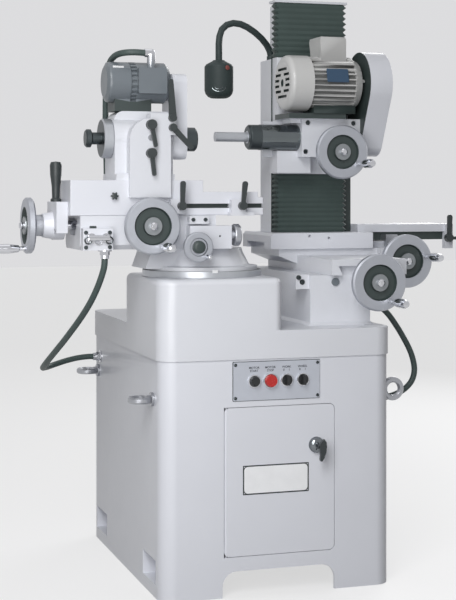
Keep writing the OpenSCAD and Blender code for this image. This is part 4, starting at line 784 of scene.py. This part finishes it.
panel_low, panel_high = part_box("control_panel")
cabinet_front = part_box("cabinet")[0].y
PANEL_SCREW = in_mm((4.6, 0), (4, 1.6), (2, 2.6))
PANEL_SCREW_IN = (6 * MM, 7 * MM)
PANEL_EDGE = 3 * MM
PANEL_EDGE_T = 0.9 * MM
PANEL_EDGE_CORNER = 3 * MM
SWITCHES = {"start_button": "MOTOR\nSTART", "stop_button": "MOTOR\nSTOP", "left_selector": "WORK\n0     1",
            "right_selector": "WHEEL\n0     1"}
BEZEL_GAP, BEZEL_WALL, BEZEL_H = 0.8 * MM, 2.6 * MM, 6 * MM
BEZEL_TOP = 0.6
LABEL_UP, LABEL_SIZE = 32 * MM, 8 * MM
LABEL_PROUD = 0.15 * MM
LETTER_T = 0.1 * MM
LETTER_BOLD = 0.12 * MM

corners = [Vector((x, panel_low.y, z))
           for x in (panel_low.x + PANEL_SCREW_IN[0], panel_high.x - PANEL_SCREW_IN[0])
           for z in (panel_low.z + PANEL_SCREW_IN[1], panel_high.z - PANEL_SCREW_IN[1])]
panel_screws = lathe(PANEL_SCREW, [facing(spot, FRONT) for spot in corners], sides=14)
piece("panel_screws", *panel_screws, DARK_CHROME, "base", "chrome")
panel_size = panel_high - panel_low
panel_middle = (panel_low + panel_high) / 2
panel_edge = slab(facing(Vector((panel_middle.x, cabinet_front, panel_middle.z)), FRONT),
                  panel_size.x + PANEL_EDGE, panel_size.z + PANEL_EDGE, PANEL_EDGE_T, PANEL_EDGE_CORNER)
piece("panel_edge", *panel_edge, DARK_STEEL_AND_SHADE, "base", "steel")


def bezel(name):
    """The ring round a switch, standing on the panel."""
    low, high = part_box(name)
    centre = Vector(((low.x + high.x) / 2, panel_low.y, (low.z + high.z) / 2))
    inner = (high.x - low.x) / 2 + BEZEL_GAP
    outer = inner + BEZEL_WALL
    profile = [(inner, 0), (outer, 0), (outer, BEZEL_H - MM), (inner + BEZEL_TOP * BEZEL_WALL, BEZEL_H),
               (inner, BEZEL_H), (inner, 0)]
    return open_ring(profile, centre, sides=32)


def label(name, text, spot, size):
    """Small generic lettering that lies on the panel."""
    curve = bpy.data.curves.new(name, "FONT")
    curve.body = text
    curve.size = size
    curve.align_x = "CENTER"
    curve.extrude = LETTER_T
    curve.offset = LETTER_BOLD
    made = bpy.data.objects.new(name, curve)
    made.matrix_world = facing(spot, FRONT)
    bpy.context.scene.collection.objects.link(made)
    curve.materials.append(INK)
    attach(made, "base")


piece("switch_bezels", *join(*[bezel(name) for name in SWITCHES]), CHROME, "base", "chrome")
for name, text in SWITCHES.items():
    low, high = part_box(name)
    spot = Vector(((low.x + high.x) / 2, panel_low.y - LABEL_PROUD, (low.z + high.z) / 2 + LABEL_UP))
    label(name + "_label", text, spot, LABEL_SIZE)


# Screws

SMALL_SCREW = 5 * MM
HOUSING_SCREW = 6 * MM
LUG_SCREW = 6.5 * MM
SWITCH_SCREW_SPOTS = [at(x, -342, z) for x in (-502, -440) for z in (908, 946)]
STOP_SCREW_SPOTS = [at(x, -334, 977) for x in (-215, -182)]
HOUSING_SCREW_SPOTS = [at(x, -67.5, z) for x, z in ((204, 1248), (345, 1248), (197, 1165))]
LUG_SCREW_SPOTS = [at(94, -290, 818), at(106, -284, 805)]
CARRIAGE_SCREW_SPOTS = [at(x, 20, 1116) for x in (155, 232)]

socket_screws("switch_box_screws", SWITCH_SCREW_SPOTS, SMALL_SCREW, "swivel")
socket_screws("stop_block_screws", STOP_SCREW_SPOTS, SMALL_SCREW, "swivel")
socket_screws("housing_screws", HOUSING_SCREW_SPOTS, HOUSING_SCREW, "wheel_head")
socket_screws("lug_screws", LUG_SCREW_SPOTS, LUG_SCREW, "base")


# Rings, plugs, tags and knobs. Tags are given by width, height, thickness and corner radius in millimetres

EYELET = (7 * MM, 10.5 * MM, 3 * MM)
EYELET_SPOTS = [at(x, -352, 926) for x in (-498, -443)]
ROSE = (9 * MM, 13.5 * MM, 4 * MM)
ROSE_SPOT = at(-470, -342, 926)
RING_EDGE = 0.7
SWITCH_TAG = (18, 7, 1, 1.5)
SWITCH_TAG_SPOT = at(-477, -312, 958.5)
PILLAR_PLUG = in_mm((7.5, 0), (7.5, 3), (6.3, 4), (3, 4), (2.6, 2))
PILLAR_PLUG_SPOT = at(-328, -327, 1190.5)
SWIVEL_INDEX = (15, 9, 1.4, 1.5)
SWIVEL_INDEX_SPOT = at(-168, -376.4, 843)
MOTOR_TAG = (30, 7, 1.2, 1.5)
MOTOR_TAG_X = -399 * MM
MOTOR_TAG_OUT = Vector((0, -1, 1)).normalized()
MOTOR_TAG_GAP = 0.1 * MM
FEED_PLUG = in_mm((2.6, 0), (2.2, 0.8), (1, 1))
FEED_PLUG_X, FEED_PLUG_Z = -158 * MM, 935 * MM
MOTOR_LUG = in_mm((5.5, -8), (5.5, 7), (4, 11), (1.5, 12.5))
MOTOR_LUG_FRONT, MOTOR_LUG_UP = 52 * MM, 6 * MM
STAR_SPOT = at(-422, -312, 1039)
STAR_R, STAR_T, STAR_LOBES = 11 * MM, 12 * MM, 6
# Shares of the knob's radius and thickness, from its back to its front
STAR_ROWS = ((0.45, 0), (0.45, 0.4), (0.95, 0.45), (1, 0.6), (0.95, 1), (0.3, 1.1))
STAR_STEM = 0.5
LOBE_DEPTH = 0.2
STEPS_A_LOBE = 8


def flat_rings(name, inner, outer, thickness, spots, finish):
    """Flat rings on the switch plate, with their hole left open."""
    edge = thickness * RING_EDGE
    crown = (inner + outer) / 2
    profile = [(inner, 0), (outer, 0), (outer, edge), (crown, thickness), (inner, edge), (inner, 0)]
    parts = [open_ring(profile, spot, sides=28) for spot in spots]
    piece(name, *join(*parts), finish, "swivel", "chrome")


def star_knob(name, spot, radius, thickness, lobes, body):
    """A knob with round lobes on a short stem."""
    steps = lobes * STEPS_A_LOBE
    place = facing(spot, FRONT)
    points = []
    for share, rise in STAR_ROWS:
        for i in range(steps):
            angle = math.tau * i / steps
            wave = 1 if share < STAR_STEM else 1 - LOBE_DEPTH + LOBE_DEPTH * math.cos(lobes * angle)
            reach = radius * share * wave
            x, y = reach * math.cos(angle), reach * math.sin(angle)
            points.append(place @ Vector((x, y, rise * thickness)))
    piece(name, points, skin(len(STAR_ROWS), steps), BLACK, body, "black_lever")


flat_rings("switch_eyelets", *EYELET, EYELET_SPOTS, DARK_CHROME)
flat_rings("switch_rose", *ROSE, [ROSE_SPOT], CHROME)
small_plate("switch_tag", facing(SWITCH_TAG_SPOT, FRONT), SWITCH_TAG, DARK_PAINT_AND_SHADE, "swivel", "black_lever")
pillar_plug = lathe(PILLAR_PLUG, [facing(PILLAR_PLUG_SPOT, FRONT)], sides=20)
piece("pillar_plug", *pillar_plug, STEEL, "table", "steel")
small_plate("swivel_index", facing(SWIVEL_INDEX_SPOT, FRONT), SWIVEL_INDEX, PLATE, "swivel", "panel")
motor_tag_spot = Vector((MOTOR_TAG_X, work_motor_axis.y, work_motor_axis.z))
motor_tag_spot += MOTOR_TAG_OUT * (WORK_MOTOR_R + MOTOR_TAG_GAP)
small_plate("motor_tag", facing(motor_tag_spot, MOTOR_TAG_OUT), MOTOR_TAG, PLATE, "table", "panel")
socket_screws("carriage_screws", CARRIAGE_SCREW_SPOTS, SMALL_SCREW, "wheel_head")
feed_plug_spot = Vector((FEED_PLUG_X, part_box("fine_feed_box")[0].y, FEED_PLUG_Z))
feed_plug = lathe(FEED_PLUG, [facing(feed_plug_spot, FRONT)], sides=12)
piece("feed_box_plug", *feed_plug, BLACK, "swivel", "black_lever")
lug_spot = Vector((wheel_motor_high.x, motor_axis.y - MOTOR_LUG_FRONT, motor_axis.z + MOTOR_LUG_UP))
motor_lug = lathe(MOTOR_LUG, [facing(lug_spot, RIGHT)], sides=18)
piece("motor_lug", *motor_lug, PALE_MOTOR, "wheel_head", "pale_motor")
star_knob("table_star_knob", STAR_SPOT, STAR_R, STAR_T, STAR_LOBES, "table")


# Graduations

TICK_W = 0.5 * MM
TICK_PROUD = 0.15 * MM
TICK_SUNK = 0.3 * MM
CUBE = ((0, 1, 3, 2), (4, 6, 7, 5), (0, 4, 5, 1), (2, 3, 7, 6), (0, 2, 6, 4), (1, 5, 7, 3))
DIAL_R = 28 * MM
DIAL_UP = 1 * MM
DIAL_MARKS = 50
RING_UP = 7 * MM
RING_MARKS = 120


def ticks(centre, outward, radius, height, count, long_every, long_l, short_l):
    """Short engraved lines round a cylinder, standing a hair proud of it."""
    place = facing(centre, outward)
    points, faces = [], []
    for i in range(count):
        angle = math.tau * i / count
        length = long_l if i % long_every == 0 else short_l
        along = Vector((math.cos(angle), math.sin(angle), 0))
        across = Vector((-math.sin(angle), math.cos(angle), 0)) * TICK_W / 2
        start = len(points)
        for r in (radius - TICK_SUNK, radius + TICK_PROUD):
            for h in (height, height + length):
                for side in (-1, 1):
                    points.append(place @ (along * r + across * side + Vector((0, 0, h))))
        faces += [tuple(start + k for k in face) for face in CUBE]
    return points, faces


for name in WHEELS:
    centre, outward, _ = out_and_round(name)
    marks = ticks(centre, outward, DIAL_R, DIAL_UP, DIAL_MARKS, long_every=5, long_l=8 * MM, short_l=5 * MM)
    piece(name + "_dial_marks", *marks, INK, name, "black_switch", smooth=False)

ring_low, ring_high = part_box("swivel_seat_ring")
ring_middle = Vector(((ring_low.x + ring_high.x) / 2, (ring_low.y + ring_high.y) / 2, ring_low.z))
ring_r = (ring_high.x - ring_low.x) / 2
ring_marks = ticks(ring_middle, UP, ring_r, RING_UP, RING_MARKS, long_every=10, long_l=9 * MM, short_l=5 * MM)
piece("seat_ring_marks", *ring_marks, INK, "base", "black_switch", smooth=False)


# Wheel motor plate

MOTOR_R = 80 * MM
MOTOR_PLATE = (66, 40, 3, 3)
MOTOR_PLATE_X = 270 * MM
MOTOR_PLATE_SUNK = 1.5 * MM
MOTOR_PLATE_TILT = math.radians(14)
plate_out = Vector((0, -math.cos(MOTOR_PLATE_TILT), math.sin(MOTOR_PLATE_TILT)))
plate_spot = Vector((MOTOR_PLATE_X, motor_axis.y, motor_axis.z)) + plate_out * (MOTOR_R - MOTOR_PLATE_SUNK)
small_plate("motor_plate", facing(plate_spot, plate_out), MOTOR_PLATE, BLUE_PLATE, "wheel_head", "panel")


# Lamp switch and grille

LAMP_R = 42 * MM
LAMP_Y = 58 * MM
LAMP_MOUTH = 22 * MM
LAMP_TAPER = 0.3
LAMP_FACING = math.radians(-17)
LAMP_BUTTON = in_mm((7, -3), (7, 1.5), (6, 2.5), (2, 3))
LAMP_BUTTON_UP = 86 * MM
LAMP_BUTTON_OUT = Vector((0.32, -0.93, 0.18)).normalized()
LAMP_BUTTON_ROUND = Vector((0.32, -0.947, 0))
GRILLE_UP = 8 * MM
GRILLE_ARCS = ((20, 13), (11, 6))
GRILLE_D = 3 * MM
GRILLE_STEPS = 24

lamp_axis = Vector((lamp_low.x + LAMP_R, LAMP_Y, 0))
button_spot = lamp_axis + LAMP_BUTTON_ROUND * LAMP_R + UP * (lamp_low.z + LAMP_BUTTON_UP)
lamp_button = lathe(LAMP_BUTTON, [facing(button_spot, LAMP_BUTTON_OUT)], sides=20)
piece("lamp_switch", *lamp_button, DULL_RED, "lamp", "red_switch")


def lamp_arc(reach, drop):
    """A wire bent to a half oval, lying on the lamp's front."""
    route = []
    for i in range(GRILLE_STEPS + 1):
        turn = math.pi * (1 + i / GRILLE_STEPS)
        height = LAMP_MOUTH + GRILLE_UP + drop * math.sin(turn)
        radius = LAMP_R - LAMP_TAPER * max(0, LAMP_MOUTH - height)
        angle = LAMP_FACING + reach * math.cos(turn) / LAMP_R
        around = Vector((radius * math.sin(angle), -radius * math.cos(angle), lamp_low.z + height))
        route.append(lamp_axis + around)
    return ribbed_tube(route, GRILLE_D, rib=0, sides=8)


arcs = [lamp_arc(reach * MM, drop * MM) for reach, drop in GRILLE_ARCS]
piece("lamp_grille", *join(*arcs), GUN_STEEL, "lamp", "steel")


# Studio and camera

IMAGE_H = 600
FOCAL_PIXELS = 1451.67
HORIZON_PIXEL = 191.0
CAMERA_PLACE = (-1.2762, -3.9756, 1.0519)
CAMERA_YAW = math.radians(17.62)
CAMERA_REACH = 50
FLOOR_HALF = 16.0
FLOOR_GLOW = 0.64
SKY_LIGHT = 0.14
SKY_SEEN = 0.81
MIDDLE = (0, 0, 0.9)
LOW_FRONT = (-0.2, -0.4, 0.5)


def set_camera():
    data = bpy.data.cameras.new("camera")
    data.sensor_fit = "AUTO"
    data.lens = FOCAL_PIXELS * data.sensor_width / IMAGE_H
    data.shift_y = (HORIZON_PIXEL - IMAGE_H / 2) / IMAGE_H
    data.clip_end = CAMERA_REACH
    camera = bpy.data.objects.new("camera", data)
    camera.location = CAMERA_PLACE
    camera.rotation_euler = (math.pi / 2, 0, -CAMERA_YAW)
    bpy.context.scene.collection.objects.link(camera)
    bpy.context.scene.camera = camera


def seen_rays(tree):
    """1 for the rays that show the background: to the camera, by a reflection or through glass."""
    rays = tree.nodes.new("ShaderNodeLightPath").outputs
    total = rays["Is Camera Ray"]
    for name in ("Is Glossy Ray", "Is Transmission Ray"):
        added = tree.nodes.new("ShaderNodeMath")
        tree.links.new(total, added.inputs[0])
        tree.links.new(rays[name], added.inputs[1])
        total = added.outputs[0]
    return total


def seen_strength(tree, socket, seen, unseen):
    """Sets a strength: one value for the rays that show the background, another for the light it gives."""
    blend = tree.nodes.new("ShaderNodeMath")
    blend.operation = "MULTIPLY_ADD"
    tree.links.new(seen_rays(tree), blend.inputs[0])
    blend.inputs[1].default_value = seen - unseen
    blend.inputs[2].default_value = unseen
    tree.links.new(blend.outputs[0], socket)


def set_floor():
    """A wide pale floor that meets a background of the same tone."""
    mesh = bpy.data.meshes.new("floor")
    corners = [(x * FLOOR_HALF, y * FLOOR_HALF, 0) for x, y in ((-1, -1), (1, -1), (1, 1), (-1, 1))]
    mesh.from_pydata(corners, [], [(0, 1, 2, 3)])
    made = Finish("pale_floor", srgb(130, 130, 131), roughness=0.75)
    made.mottle(made.noise(size=1.2), amount=0.01)
    made.bump(made.noise(size=0.01), height=0.0002, strength=0.1)
    made.set(Emission_Color=(1, 1, 1, 1))
    seen_strength(made.tree, made.shader.inputs["Emission Strength"], FLOOR_GLOW, 0)
    mesh.materials.append(made.material)
    floor = bpy.data.objects.new("floor", mesh)
    bpy.context.scene.collection.objects.link(floor)


def area_light(name, place, target, size, power):
    data = bpy.data.lights.new(name, "AREA")
    data.shape = "SQUARE"
    data.size = size
    data.energy = power
    light = bpy.data.objects.new(name, data)
    light.location = place
    light.rotation_euler = (Vector(target) - Vector(place)).to_track_quat("-Z", "Y").to_euler()
    light.visible_camera = False
    bpy.context.scene.collection.objects.link(light)


def set_light():
    world = bpy.data.worlds.new("studio")
    world.use_nodes = True
    sky = world.node_tree.nodes["Background"]
    sky.inputs["Color"].default_value = srgb(242, 242, 244)
    seen_strength(world.node_tree, sky.inputs["Strength"], SKY_SEEN, SKY_LIGHT)
    bpy.context.scene.world = world
    area_light("key", place=(-1.7, -3.0, 3.2), target=MIDDLE, size=1.6, power=70)
    area_light("fill", place=(-1.1, -2.0, 1.0), target=LOW_FRONT, size=1.2, power=22)
    area_light("back", place=(2.6, 2.4, 2.2), target=MIDDLE, size=2.2, power=60)
    area_light("top", place=(-0.5, 0.0, 3.6), target=MIDDLE, size=2.2, power=8)


set_camera()
set_floor()
set_light()
bpy.context.scene.view_settings.view_transform = "Standard"
